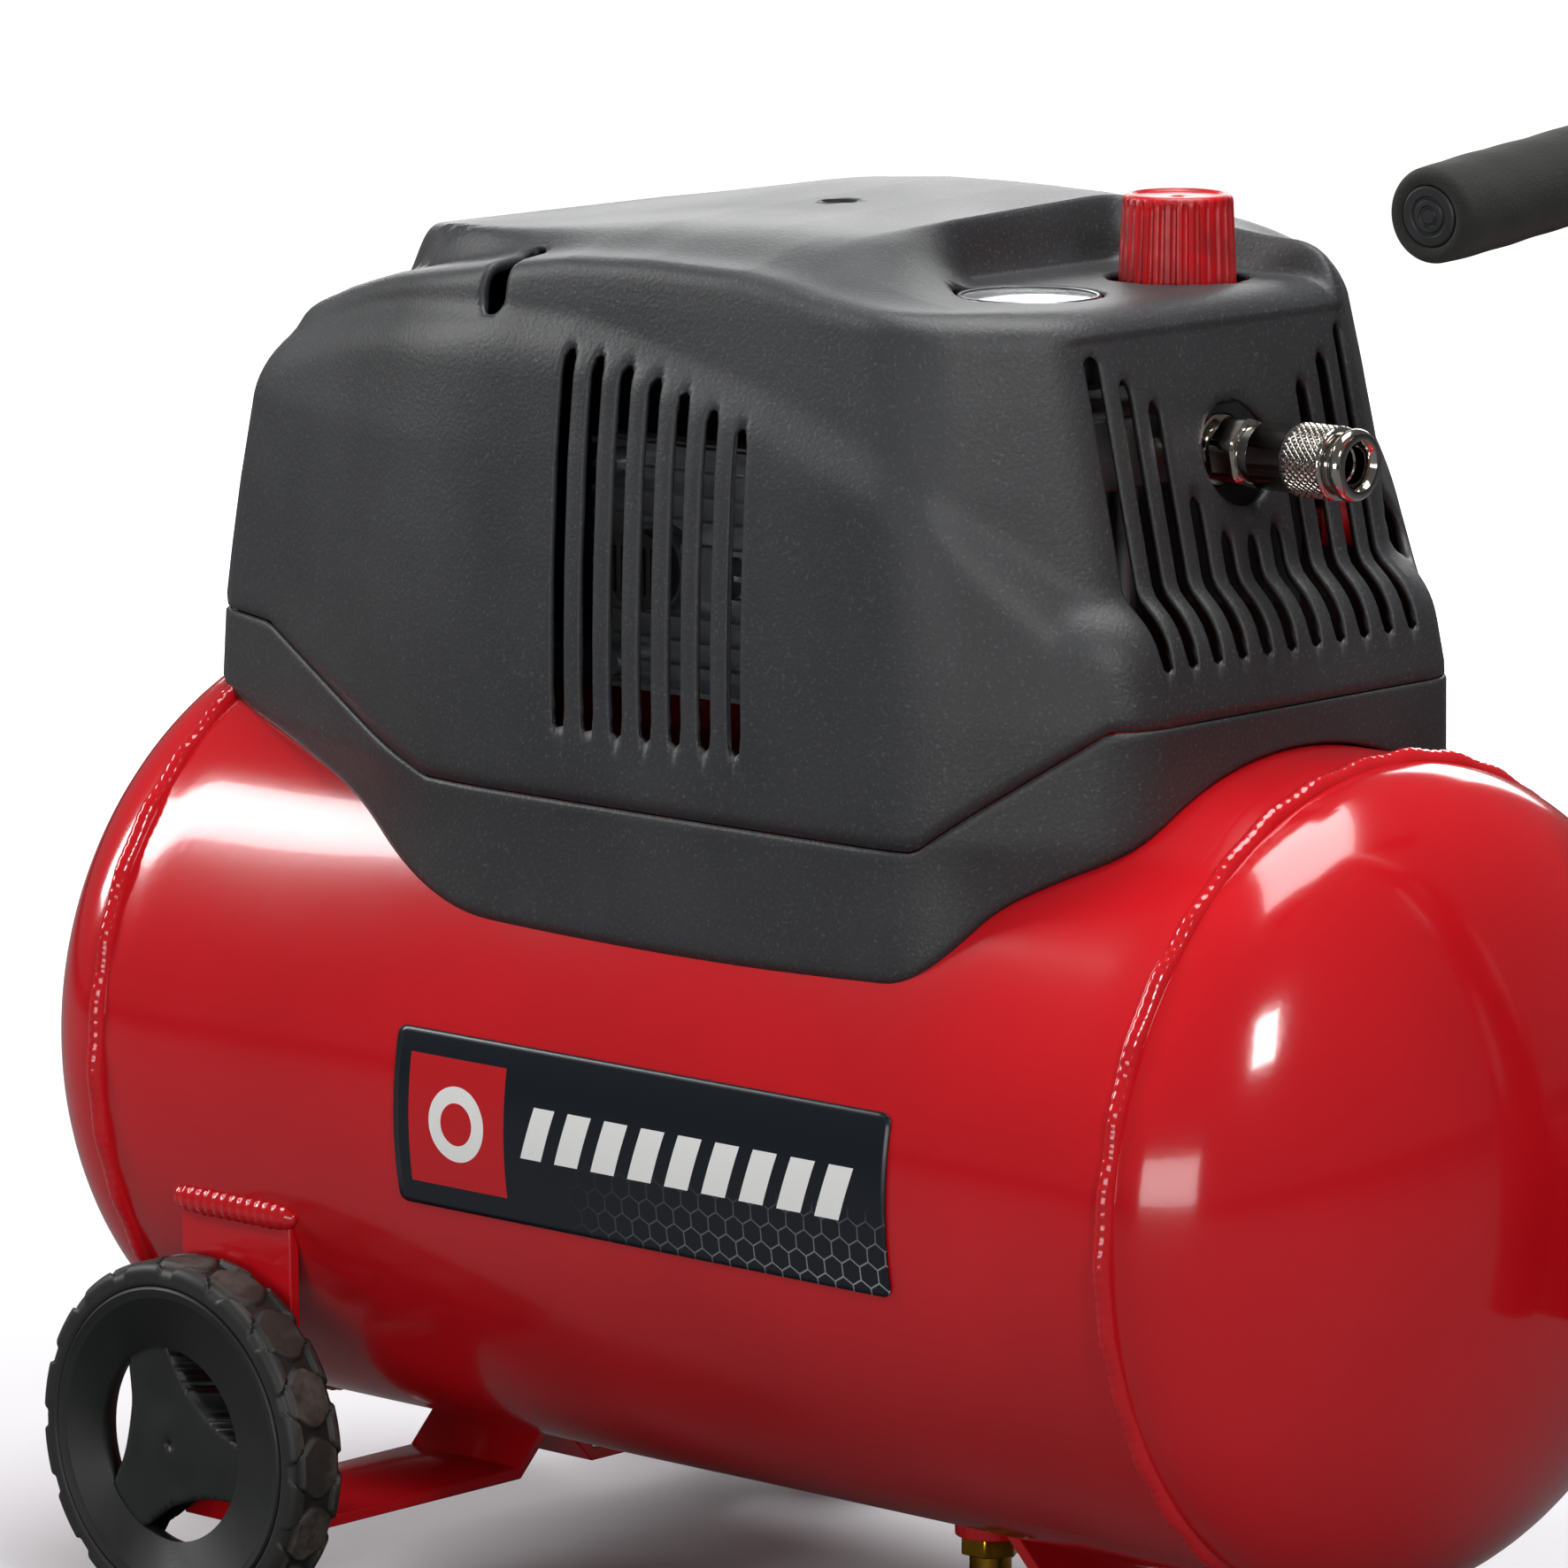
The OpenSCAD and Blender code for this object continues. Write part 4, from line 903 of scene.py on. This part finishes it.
def wheel_tyre(name, look, finishes):
    """Tyre turned round the rim with lugs: r = profile + lug pattern of angle, on both shoulders.

    Kite-shaped blocks stand on each shoulder with scalloped ribs between them on the tread.
    """
    low, high = (tank_mm(c) for c in span(name))
    centre = (low + high) / 2
    r = (high[0] - low[0]) / 2
    half = (high[1] - low[1]) / 2
    rim_r = r - 8
    lugs = look.lugs
    profile = np.concatenate([
        [(-half + 0.6, rim_r), (-half, rim_r + 0.8)],
        np.stack([np.full(5, -half), np.linspace(rim_r + 1.6, r - 5.0, 5)], -1),
        arc((-half + 3.6, r - 4.4), 3.6, 180, 100, 9),
        np.stack([np.linspace(-half + 4.2, half - 4.2, 25), np.full(25, r - 0.8)], -1),
        arc((half - 3.6, r - 4.4), 3.6, 80, 0, 9),
        np.stack([np.full(5, half), np.linspace(r - 5.0, rim_r + 1.6, 5)], -1),
        [(half, rim_r + 0.8), (half - 0.6, rim_r)]])
    count = lugs * 32

    def radius(t, y, base):
        cycle = (t * lugs / (2 * np.pi)) % 1
        away = np.abs(y) / half
        # shoulder blocks are widest at the edge and narrow towards the middle
        width = 0.36 - 0.16 * step((0.95 - away) / 0.35)
        block = step((width - np.abs(cycle - 0.5)) / 0.07 + 0.5) * step((away - 0.5) / 0.12)
        shifted = np.abs((cycle + 0.5) % 1 - 0.5)
        rib = step((0.3 + 0.14 * np.cos(away * np.pi) - shifted) / 0.06 + 0.5) * step((0.72 - away) / 0.1)
        fall = step((base - rim_r - 1.0) / 3.0)
        return base - fall * 1.5 + 1.5 * fall * np.maximum(block, rib)

    points, _ = turned(profile, count, (0, 1, 0), centre, radius)
    tyre = make_piece(name + "_looks", points, grid(len(profile), count, close_rows=True, close_cols=True),
                      finishes["wheel_tread"], body=name.replace("_tyre", ""),
                      stands_for=(name,), crease=38)
    clean(tyre)
    mesh = tyre.data
    co = np.empty(len(mesh.vertices) * 3, np.float32)
    mesh.vertices.foreach_get("co", co)
    co = (co.reshape(-1, 3) - TANK) * 1000 - centre
    reach = np.hypot(co[:, 0], co[:, 2])
    worn = step((reach - (r - 1.4)) / 0.9) * (np.abs(co[:, 1]) < half - 0.4)
    mesh.attributes.new("tread", "FLOAT", "POINT").data.foreach_set("value", worn.astype(np.float32))
    return tyre


# ---- controls ----


def build_knob(look, finishes):
    """Ribbed knob: a tapered profile whose radius is lifted by flat-topped ribs."""
    low, high = (tank_mm(c) for c in span("regulator_knob"))
    centre = np.array([(low[0] + high[0]) / 2, (low[1] + high[1]) / 2, 0])
    r, z0, z1 = (high[0] - low[0]) / 2, low[2], high[2]
    side = np.linspace(z0, z1 - 1.6, 24)
    outer = [(z, r - 0.3 - 1.5 * (z - z0) / (z1 - z0)) for z in side]
    top_r = outer[-1][1]
    profile = [(z0, 6.1), (z0, r - 1.4)] + outer + [
        (z1 - 0.7, top_r - 0.5), (z1 - 0.15, top_r - 1.3), (z1, top_r - 2.2), (z1 - 0.05, top_r - 2.9),
        (z1 - 0.9, top_r - 3.5), (z1 - 1.1, top_r - 5), (z1 - 1.0, 3.2), (z1 - 1.1, 2.2),
        (z1 - 1.5, 1.6), (z1 - 1.5, 0.001)]

    def ribs(t, z, base):
        wave = np.cos(t * look.ribs)
        lift = step(wave * 1.1 + 0.55) * 1.15
        fade = step((z1 - 1.0 - z) / 2.0) * step((z - z0 + 0.6) / 0.8) * (base > top_r - 1.2)
        return base - 1.05 * fade + lift * fade

    points, faces = turned(profile, look.ribs * 10, (0, 0, 1), centre, ribs)
    knob = make_piece("pressure_knob", points, faces, finishes["red_plastic"], body="knob",
                      stands_for=("regulator_knob",), crease=50)
    return clean(knob, 2e-6)


def build_gauge(finishes):
    """Gauge: rolled case rim, domed lens and printed ticks on the dial."""
    low, high = (tank_mm(c) for c in span("gauge_case"))
    centre = np.array([(low[0] + high[0]) / 2, (low[1] + high[1]) / 2, 0])
    r, top = (high[0] - low[0]) / 2, high[2]
    profile = np.concatenate([[(top - 26, 0.001), (top - 26, r - 1.6), (top - 25.2, r - 0.4), (top - 24, r)],
                              [(top - 1.2, r)], arc((top - 1.0, r - 1.0), 1.0, 90, 0, 6)[1:],
                              [(top - 0.2, r - 1.5), (top - 1.4, r - 1.6), (top - 6.2, r - 1.6), (top - 6.2, 0.001)]])
    neck = np.array([(low[2] + 0.02, 0.001), (low[2] + 0.02, 7), (top - 25.9, 7), (top - 25.9, 0.001)])
    pts, fcs = join(turned(profile, 96, (0, 0, 1), centre), turned(neck, 6, (0, 0, 1), centre))
    case = make_piece("gauge_rim", pts, fcs, finishes["gauge_steel"],
                      stands_for=("gauge_case",), crease=35)
    clean(case, 2e-6)
    dome = [(top - 1.9, 0.001), (top - 1.9, r - 1.75), (top - 0.6, r - 1.75)]
    s = np.linspace(1, 0, 16)
    dome += [(top - 0.6 + 1.5 * (1 - k ** 2), max((r - 1.9) * k, 0.001)) for k in s]
    pts, fcs = turned(dome, 96, (0, 0, 1), centre)
    lens = make_piece("gauge_window", pts, fcs, finishes["gauge_glass"],
                      stands_for=("gauge_lens",), crease=40)
    clean(lens, 2e-6)
    # 31 ticks over 270 degrees, every fifth one longer and thicker
    k = np.arange(31)
    angle = np.radians(225 - 9 * k)
    long = (k % 5 == 0)
    dial = tank_mm(span("gauge_dial")[0])[2]
    z0, z1 = dial + 0.75, dial + 0.95
    r0, r1, w = np.where(long, r - 7.5, r - 5.6), np.full(31, r - 3.4), np.where(long, 0.45, 0.2)
    out = np.stack([np.cos(angle), np.sin(angle)], -1)
    across = np.stack([-out[:, 1], out[:, 0]], -1)
    corners = []
    for z in (z0, z1):
        for rad, sgn in ((r0, -1), (r1, -1), (r1, 1), (r0, 1)):
            flat = centre[:2] + out * rad[:, None] + across * (sgn * w)[:, None]
            corners.append(np.concatenate([flat, np.full((31, 1), z)], 1))
    points = np.stack(corners, 1).reshape(-1, 3)
    cube = np.array([[0, 3, 2, 1], [4, 5, 6, 7], [0, 1, 5, 4], [1, 2, 6, 5], [2, 3, 7, 6], [3, 0, 4, 7]])
    faces = (cube[None] + 8 * k[:, None, None]).reshape(-1, 4)
    ticks = make_piece("gauge_ticks", points, faces, finishes["needle_paint"])
    clean(ticks)


def build_coupler(finishes):
    """Quick coupler: nipple with hex, plain barrel, diamond-knurled sleeve and a rolled end ring."""
    nickel = finishes["nickel_plate"]
    low, high = (tank_mm(c) for c in span("coupler_body"))
    x0, x1 = low[0], high[0]
    centre = (0, (low[1] + high[1]) / 2, (low[2] + high[2]) / 2)
    bore = 6.0
    body = np.concatenate([
        [(x0, 0.001), (x0, 8.6), (x1 - 5.3, 8.6), (x1 - 5.0, 9.6)], arc((x1 - 2.5, 8.4), 2.4, 150, 10, 12),
        [(x1 - 0.1, 9.4), (x1, 8.2), (x1 - 0.1, 7.4), (x1 - 1.2, bore + 0.6), (x1 - 2.6, bore),
         (x1 - 7, bore), (x1 - 7.4, bore - 0.5), (x1 - 9.5, bore - 0.5), (x1 - 9.9, bore),
         (x1 - 23, bore), (x1 - 23, 2.2), (x1 - 20, 1.4), (x1 - 20, 0.001)]])
    pts, fcs = turned(body, 96, (1, 0, 0), centre)
    clean(make_piece("coupler_barrel", pts, fcs, nickel,
                     stands_for=("coupler_body",), crease=30), 2e-6)
    low, high = (tank_mm(c) for c in span("coupler_sleeve"))
    s0, s1 = low[0], high[0]
    band = np.linspace(s1 - 13.4, s1 - 1.6, 60)
    sleeve = np.concatenate([
        [(s0, 8.7), (s0, 9.7), (s0 + 0.6, 10.2), (s1 - 16.0, 10.2), (s1 - 15.4, 10.7), (s1 - 14.6, 11.0)],
        np.stack([band, np.full(60, 11.0)], -1),
        [(s1 - 0.9, 11.0), (s1 - 0.3, 10.6), (s1, 10.0), (s1, 8.7)]])
    first, last = s1 - 14.0, s1 - 1.2

    def knurl(t, x, base):
        teeth = 30
        a = teeth * t + (x - first) * teeth / 11.0
        b = teeth * t - (x - first) * teeth / 11.0
        diamond = np.minimum(np.abs(np.sin(a / 2)), np.abs(np.sin(b / 2)))
        return base - 0.55 * (1 - np.clip(diamond * 2.2, 0, 1)) * ((x > first) & (x < last) & (base > 10.9))

    pts, _ = turned(sleeve, 480, (1, 0, 0), centre, knurl)
    fcs = grid(len(sleeve), 480, close_rows=True, close_cols=True)
    clean(make_piece("knurled_sleeve", pts, fcs, nickel, body="collar",
                     stands_for=("coupler_sleeve",), crease=50), 2e-6)
    low, high = (tank_mm(c) for c in span("outlet_nipple"))
    n0, n1 = low[0], high[0]
    washer = np.array([(n0, 0.001), (n0, 6.5), (n1 - 19.5, 6.5), (n1 - 17.2, 7.4), (n1 - 15.1, 8.4),
                       (n1 - 14.6, 10.4), (n1 - 14.0, 11), (n1 - 13.0, 11), (n1 - 12.5, 10.4),
                       (n1 - 12.2, 8), (n1 - 10, 8), (n1 - 10, 0.001)])
    part = turned(washer, 72, (1, 0, 0), centre)

    def hexagon(t, x, base):
        six = base * np.cos(np.pi / 6) / np.cos((t + 0.3) % (np.pi / 3) - np.pi / 6)
        return np.where(base > 9.6, np.minimum(six * 1.06, base), base)

    nut = np.array([(n1 - 10.1, 0.001), (n1 - 10.1, 8.6), (n1 - 9.7, 9.7), (n1 - 9.0, 10.5),
                    (n1 - 1.2, 10.5), (n1 - 0.4, 9.7), (n1 - 0.05, 8.9), (n1, 8.5), (n1, 0.001)])
    pts, fcs = join(part, turned(nut, 96, (1, 0, 0), centre, hexagon))
    clean(make_piece("outlet_fitting", pts, fcs, nickel,
                     stands_for=("outlet_nipple",), crease=28), 2e-6)


# ---- handle ----


def build_handle(finishes):
    """Foam grips with moulded end plugs: soft profiles turned about each arm of the cross bar."""
    root = np.array([307.0, 0.0, 310.5])
    reach = 120.0
    grip_r = 13.5
    for side in (-1, 1):
        far = np.array([9.0, side * reach, -9.5])
        length = float(np.linalg.norm(far))
        axis = far / length
        start, end = 0.36 * length, length
        body = np.concatenate([
            [(start, 11.02), (start, grip_r - 2.0)], arc((start + 2, grip_r - 2), 2, 180, 90, 7),
            np.stack([np.linspace(start + 6, end - 8, 40), np.full(40, grip_r)], -1),
            arc((end - 3.4, grip_r - 3.1), 3.0, 80, 0, 8),
            [(end - 0.45, grip_r - 4.4), (end - 0.9, 8.8), (end - 3.0, 8.7), (end - 3.6, 11.02)]])

        def soft(t, x, r, side=side):
            give = 0.12 * np.sin(x * 0.11 + 2 * t) + 0.08 * np.sin(x * 0.31 - 3 * t + side)
            return r + give * (r > 11.5)

        pts, _ = turned(body, 96, axis, root, soft)
        name = ("near" if side < 0 else "far") + "_grip"
        fcs = grid(len(body), 96, close_rows=True, close_cols=True)
        grip = make_piece(name, pts, fcs, finishes["black_foam"],
                          stands_for=("handle_grips",), crease=60)
        clean(grip, 2e-6)
        face = end - 0.9
        # the plug's face has raised rings 2.5 mm apart
        rings = [(face - 9, 0.001), (face - 9, 7.6), (face - 3, 8.4), (face - 0.1, 8.5),
                 (face + 0.3, 8.2), (face + 0.5, 7.6)]
        s = np.linspace(7.4, 0.001, 44)
        groove = 0.55 * step((np.cos(s * 2 * np.pi / 2.5) - 0.1) / 0.5) * ((s > 1.2) & (s < 7.0))
        rings = np.concatenate([rings, np.stack([face + 0.45 - groove, s], -1)])
        pts, fcs = turned(rings, 72, axis, root)
        clean(make_piece(name + "_plug", pts, fcs, finishes["black_nylon"],
                         crease=50), 2e-6)


def build_bracket_welds(finishes):
    """Weld along the top of each wheel bracket: a thick bead carried along x on the tank.

    Its round section swells and sinks along its length as r = 2.8 + 0.16 sin(1.7 x) + 0.1 sin(4.1 x).
    """
    beads = []
    for name, side in (("left_wheel_bracket", -1), ("right_wheel_bracket", 1)):
        low, high = (tank_mm(c) for c in span(name))
        x = np.linspace(low[0] - 3, high[0] + 3, 90)[:, None]
        t = np.linspace(0, 2 * np.pi, 24, endpoint=False)[None, :]
        leg = max(abs(low[1]), abs(high[1]))
        end = np.sqrt(np.clip(1 - ((x - x.mean()) / np.ptp(x) * 2) ** 8, 0, 1))
        size = (2.8 + 0.16 * np.sin(1.7 * x) + 0.1 * np.sin(4.1 * x)) * end + 0.001
        y = side * (leg + 0.4 + size * np.cos(t))
        z = -math.sqrt(TANK_R ** 2 - leg ** 2) - 0.6 + 1.5 * size * np.sin(t)
        points = np.stack(np.broadcast_arrays(x, y, z), -1).reshape(-1, 3)
        beads.append((points, grid(90, 24, close_cols=True)))
    points, faces = join(*beads)
    clean(make_piece("bracket_welds", points, faces, finishes["red_enamel"], crease=70), 2e-5)


def build_hardware(finishes):
    """Welded brackets, foot, drain, fixings and the pump, with merged meshes and rounded edges."""
    widths = {
        "left_wheel_bracket": 1.2, "right_wheel_bracket": 1.2, "foot_bracket": 1.2, "tank_bosses": 0.8,
        "handle_post": 1.4, "axle_bolts": 0.6, "axle_nuts": 0.6, "rubber_foot": 1.5, "foot_screw": 0.6,
        "drain_valve": 0.5, "drain_screw": 0.8, "cover_screw": 0.4, "cable_gland": 0.6,
        "outlet_block": 1.0, "riser_pipe": 0.5, "regulator_body": 0.5, "safety_valve": 0.5,
        "cylinder_head": 0.5, "cylinder_barrel": 0.4, "crankcase": 1.0, "crankcase_cover": 0.8,
        "air_filter": 0.5, "check_valve": 0.5, "motor_housing": 0.8, "motor_end_shield": 0.8,
        "capacitor": 1.0, "pump_rails": 0.5, "mount_screws": 0.4, "pressure_switch": 1.0,
    }
    bodies = {"drain_screw": "drain_tap"}
    for node, width in widths.items():
        softened(node, finishes[SLOT_OF[node]], width, bodies.get(node, "root"))


# ---- stage ----


def build_stage(look):
    """Pale floor, soft box lights, a bright even surround and the camera."""
    material, tree, shader, place_of = new_material("studio_floor_paint")
    seen = add(tree, "ShaderNodeLightPath").outputs["Is Camera Ray"]
    away = add(tree, "ShaderNodeVectorMath", {0: place_of}, operation="LENGTH").outputs["Value"]
    bright = add(tree, "ShaderNodeMapRange", {0: away, 1: 0.45, 2: 1.9}).outputs[0]
    paint = add(tree, "ShaderNodeMix", {0: seen, 6: linear("6a6a6c"), 7: linear("d6d6d9")}, data_type="RGBA")
    tree.links.new(paint.outputs[2], shader.inputs["Base Color"])
    shader.inputs["Roughness"].default_value = 0.8
    shader.inputs["Specular IOR Level"].default_value = 0.1
    shader.inputs["Emission Color"].default_value = (1, 1, 1, 1)
    tree.links.new(add(tree, "ShaderNodeMath", {0: bright, 1: seen}, operation="MULTIPLY").outputs[0],
                   shader.inputs["Emission Strength"])
    t = np.linspace(0, 2 * np.pi, 96, endpoint=False)
    radii = np.array([0.001, 0.5, 1, 2, 4, 8, 16, 30.0])
    points = np.stack([radii[:, None] * np.cos(t), radii[:, None] * np.sin(t), 0 * radii[:, None] * t], -1)
    mesh = bpy.data.meshes.new("floor")
    mesh.from_pydata(points.reshape(-1, 3).tolist(), [], grid(8, 96, close_cols=True).tolist())
    mesh.materials.append(material)
    floor = bpy.data.objects.new("floor", mesh)
    bpy.context.scene.collection.objects.link(floor)

    world = bpy.data.worlds.new("studio")
    world.use_nodes = True
    tree = world.node_tree
    backdrop = tree.nodes["Background"]
    backdrop.inputs[0].default_value = (1, 1, 1, 1)
    seen = add(tree, "ShaderNodeLightPath").outputs["Is Camera Ray"]
    strength = add(tree, "ShaderNodeMapRange", {0: seen, 3: look.surround, 4: 1.0}).outputs[0]
    tree.links.new(strength, backdrop.inputs[1])
    bpy.context.scene.world = world
    bpy.context.scene.view_settings.view_transform = "Standard"

    boxes = [  # name, place, aims at, width, height, watts
        ("overhead_box", (0.1, 0.3, 2.4), (0.0, 0.0, 0.3), 1.6, 1.2, 52),
        ("back_box", (-1.9, 2.3, 1.35), (0.0, 0.0, 0.35), 2.6, 1.1, 44),
        ("left_strip", (-2.2, -1.0, 1.5), (-0.1, 0.0, 0.3), 0.5, 1.4, 34),
        ("front_box", (0.9, -2.9, 0.45), (0.0, 0.0, 0.1), 2.4, 0.6, 26),
        ("right_box", (2.3, -1.1, 1.7), (0.2, 0.0, 0.25), 0.45, 0.6, 26),
    ]
    for name, spot, target, wide, tall, watts in boxes:
        lamp = bpy.data.lights.new(name, "AREA")
        lamp.shape, lamp.size, lamp.size_y, lamp.energy = "RECTANGLE", wide, tall, watts * look.light
        obj = bpy.data.objects.new(name, lamp)
        obj.visible_camera = False
        aim(obj, spot, target)
    lens = bpy.data.cameras.new("camera")
    lens.lens, lens.sensor_width = 215.0, 36.0
    camera = bpy.data.objects.new("camera", lens)
    az, el, far = math.radians(42.53), math.radians(9.72), 2.8823
    target = TANK + np.array([-0.02975, 0, 0.09046])
    spot = target + far * np.array([math.cos(el) * math.sin(az), -math.cos(el) * math.cos(az), math.sin(el)])
    aim(camera, spot, target)
    bpy.context.scene.camera = camera


def aim(obj, spot, target):
    """Puts a lamp or camera at a spot, looking at a target with its top up."""
    obj.location = Vector(spot)
    obj.rotation_euler = (Vector(target) - Vector(spot)).to_track_quat("-Z", "Y").to_euler()
    bpy.context.scene.collection.objects.link(obj)


# ---- settings ----


class TankLook(bpy.types.PropertyGroup):
    """Finish of the tank."""
    enamel: bpy.props.FloatVectorProperty(
        name="Enamel", description="Colour of the baked enamel", subtype="COLOR",
        min=0, max=1, default=linear("cd1620")[:3])
    enamel_shade: bpy.props.FloatVectorProperty(
        name="Enamel shade", description="Slightly darker enamel between patches", subtype="COLOR",
        min=0, max=1, default=linear("c2131c")[:3])
    ripple: bpy.props.FloatProperty(
        name="Ripple", description="Height of the waves in the rolled steel", default=0.00012,
        min=0, max=0.001, unit="LENGTH", precision=5)


class CoverLook(bpy.types.PropertyGroup):
    """Sizes and colours of the moulded cover and base."""
    colour: bpy.props.FloatVectorProperty(
        name="Colour", description="Colour of the moulding", subtype="COLOR",
        min=0, max=1, default=linear("2c2d2f")[:3])
    colour_light: bpy.props.FloatVectorProperty(
        name="Light patches", description="Slightly lighter moulding between patches", subtype="COLOR",
        min=0, max=1, default=linear("333436")[:3])
    wall: bpy.props.FloatProperty(
        name="Wall", description="Wall thickness of the mouldings", default=0.003,
        min=0.0015, max=0.004, unit="LENGTH", precision=4)
    slot_width: bpy.props.FloatProperty(
        name="Slot width", description="Width of each cooling slot", default=0.005,
        min=0.003, max=0.006, unit="LENGTH")


class WheelLook(bpy.types.PropertyGroup):
    """Pattern of the tyres."""
    lugs: bpy.props.IntProperty(
        name="Lugs", description="Tread blocks round each tyre", default=16, min=10, max=30)


class ControlLook(bpy.types.PropertyGroup):
    """Details of the controls."""
    ribs: bpy.props.IntProperty(name="Ribs", description="Ribs round the knob", default=30, min=12, max=48)


class StageLook(bpy.types.PropertyGroup):
    """Strength of the studio's lights."""
    light: bpy.props.FloatProperty(
        name="Light", description="Scales every soft box", default=1.0, min=0, max=4)
    surround: bpy.props.FloatProperty(
        name="Surround", description="Brightness of the white surround", default=0.12, min=0, max=2)


FINISHES = {}

# ---- operators ----


class COMPRESSOR_OT_stage(bpy.types.Operator):
    """Adds the floor, lights and camera"""
    bl_idname = "compressor.stage"
    bl_label = "Studio stage"

    def execute(self, context):
        build_stage(context.scene.stage_look)
        return {"FINISHED"}


class COMPRESSOR_OT_finishes(bpy.types.Operator):
    """Makes every finish and puts it on the frame's own nodes"""
    bl_idname = "compressor.finishes"
    bl_label = "Finishes"

    def execute(self, context):
        FINISHES.update(build_materials())
        return {"FINISHED"}


class COMPRESSOR_OT_tank(bpy.types.Operator):
    """Builds the tank's skin, its seam welds and its label"""
    bl_idname = "compressor.tank"
    bl_label = "Tank"

    def execute(self, context):
        build_tank(context.scene.tank_look, FINISHES)
        build_label(context.scene.tank_look, FINISHES)
        return {"FINISHED"}


class COMPRESSOR_OT_shells(bpy.types.Operator):
    """Builds the moulded cover and the base shell"""
    bl_idname = "compressor.shells"
    bl_label = "Cover and base"

    def execute(self, context):
        build_cover(context.scene.cover_look, FINISHES)
        build_base(context.scene.cover_look, FINISHES)
        return {"FINISHED"}


class COMPRESSOR_OT_wheels(bpy.types.Operator):
    """Builds both wheels"""
    bl_idname = "compressor.wheels"
    bl_label = "Wheels"

    def execute(self, context):
        for name, side in (("left_wheel", -1), ("right_wheel", 1)):
            wheel_rim(name + "_rim", side, FINISHES)
            wheel_tyre(name + "_tyre", context.scene.wheel_look, FINISHES)
        return {"FINISHED"}


class COMPRESSOR_OT_controls(bpy.types.Operator):
    """Builds the knob, the gauge and the quick coupler"""
    bl_idname = "compressor.controls"
    bl_label = "Knob, gauge and coupler"

    def execute(self, context):
        build_knob(context.scene.control_look, FINISHES)
        build_gauge(FINISHES)
        build_coupler(FINISHES)
        return {"FINISHED"}


class COMPRESSOR_OT_handle(bpy.types.Operator):
    """Builds the handle's grips and end plugs"""
    bl_idname = "compressor.handle"
    bl_label = "Handle grips"

    def execute(self, context):
        build_handle(FINISHES)
        return {"FINISHED"}


class COMPRESSOR_OT_hardware(bpy.types.Operator):
    """Rounds the edges of the brackets, fixings and pump parts"""
    bl_idname = "compressor.hardware"
    bl_label = "Brackets, fixings and pump"

    def execute(self, context):
        build_hardware(FINISHES)
        build_bracket_welds(FINISHES)
        return {"FINISHED"}


OPERATORS = (COMPRESSOR_OT_stage, COMPRESSOR_OT_finishes, COMPRESSOR_OT_tank, COMPRESSOR_OT_shells,
             COMPRESSOR_OT_wheels, COMPRESSOR_OT_controls, COMPRESSOR_OT_handle, COMPRESSOR_OT_hardware)
LOOKS = {"tank_look": TankLook, "cover_look": CoverLook, "wheel_look": WheelLook,
         "control_look": ControlLook, "stage_look": StageLook}


class COMPRESSOR_PT_panel(bpy.types.Panel):
    """Sidebar panel with the settings and one button for each group of pieces."""
    bl_label = "Compressor"
    bl_idname = "COMPRESSOR_PT_panel"
    bl_space_type = "VIEW_3D"
    bl_region_type = "UI"
    bl_category = "Compressor"

    def draw(self, context):
        for name, kind in LOOKS.items():
            box = self.layout.box()
            for field in kind.__annotations__:
                box.prop(getattr(context.scene, name), field)
        for operator in OPERATORS:
            self.layout.operator(operator.bl_idname)


CLASSES = (*LOOKS.values(), *OPERATORS, COMPRESSOR_PT_panel)


def register():
    """Registers the classes and hangs the settings on the scene."""
    for kind in CLASSES:
        bpy.utils.register_class(kind)
    for name, kind in LOOKS.items():
        setattr(bpy.types.Scene, name, bpy.props.PointerProperty(type=kind))


def unregister():
    """Takes the settings and classes away again."""
    for name in LOOKS:
        delattr(bpy.types.Scene, name)
    for kind in reversed(CLASSES):
        bpy.utils.unregister_class(kind)


def main():
    """Registers the classes and builds everything in order."""
    register()
    for operator in OPERATORS:
        group, name = operator.bl_idname.split(".")
        getattr(getattr(bpy.ops, group), name)()


if __name__ == "__main__":
    main()
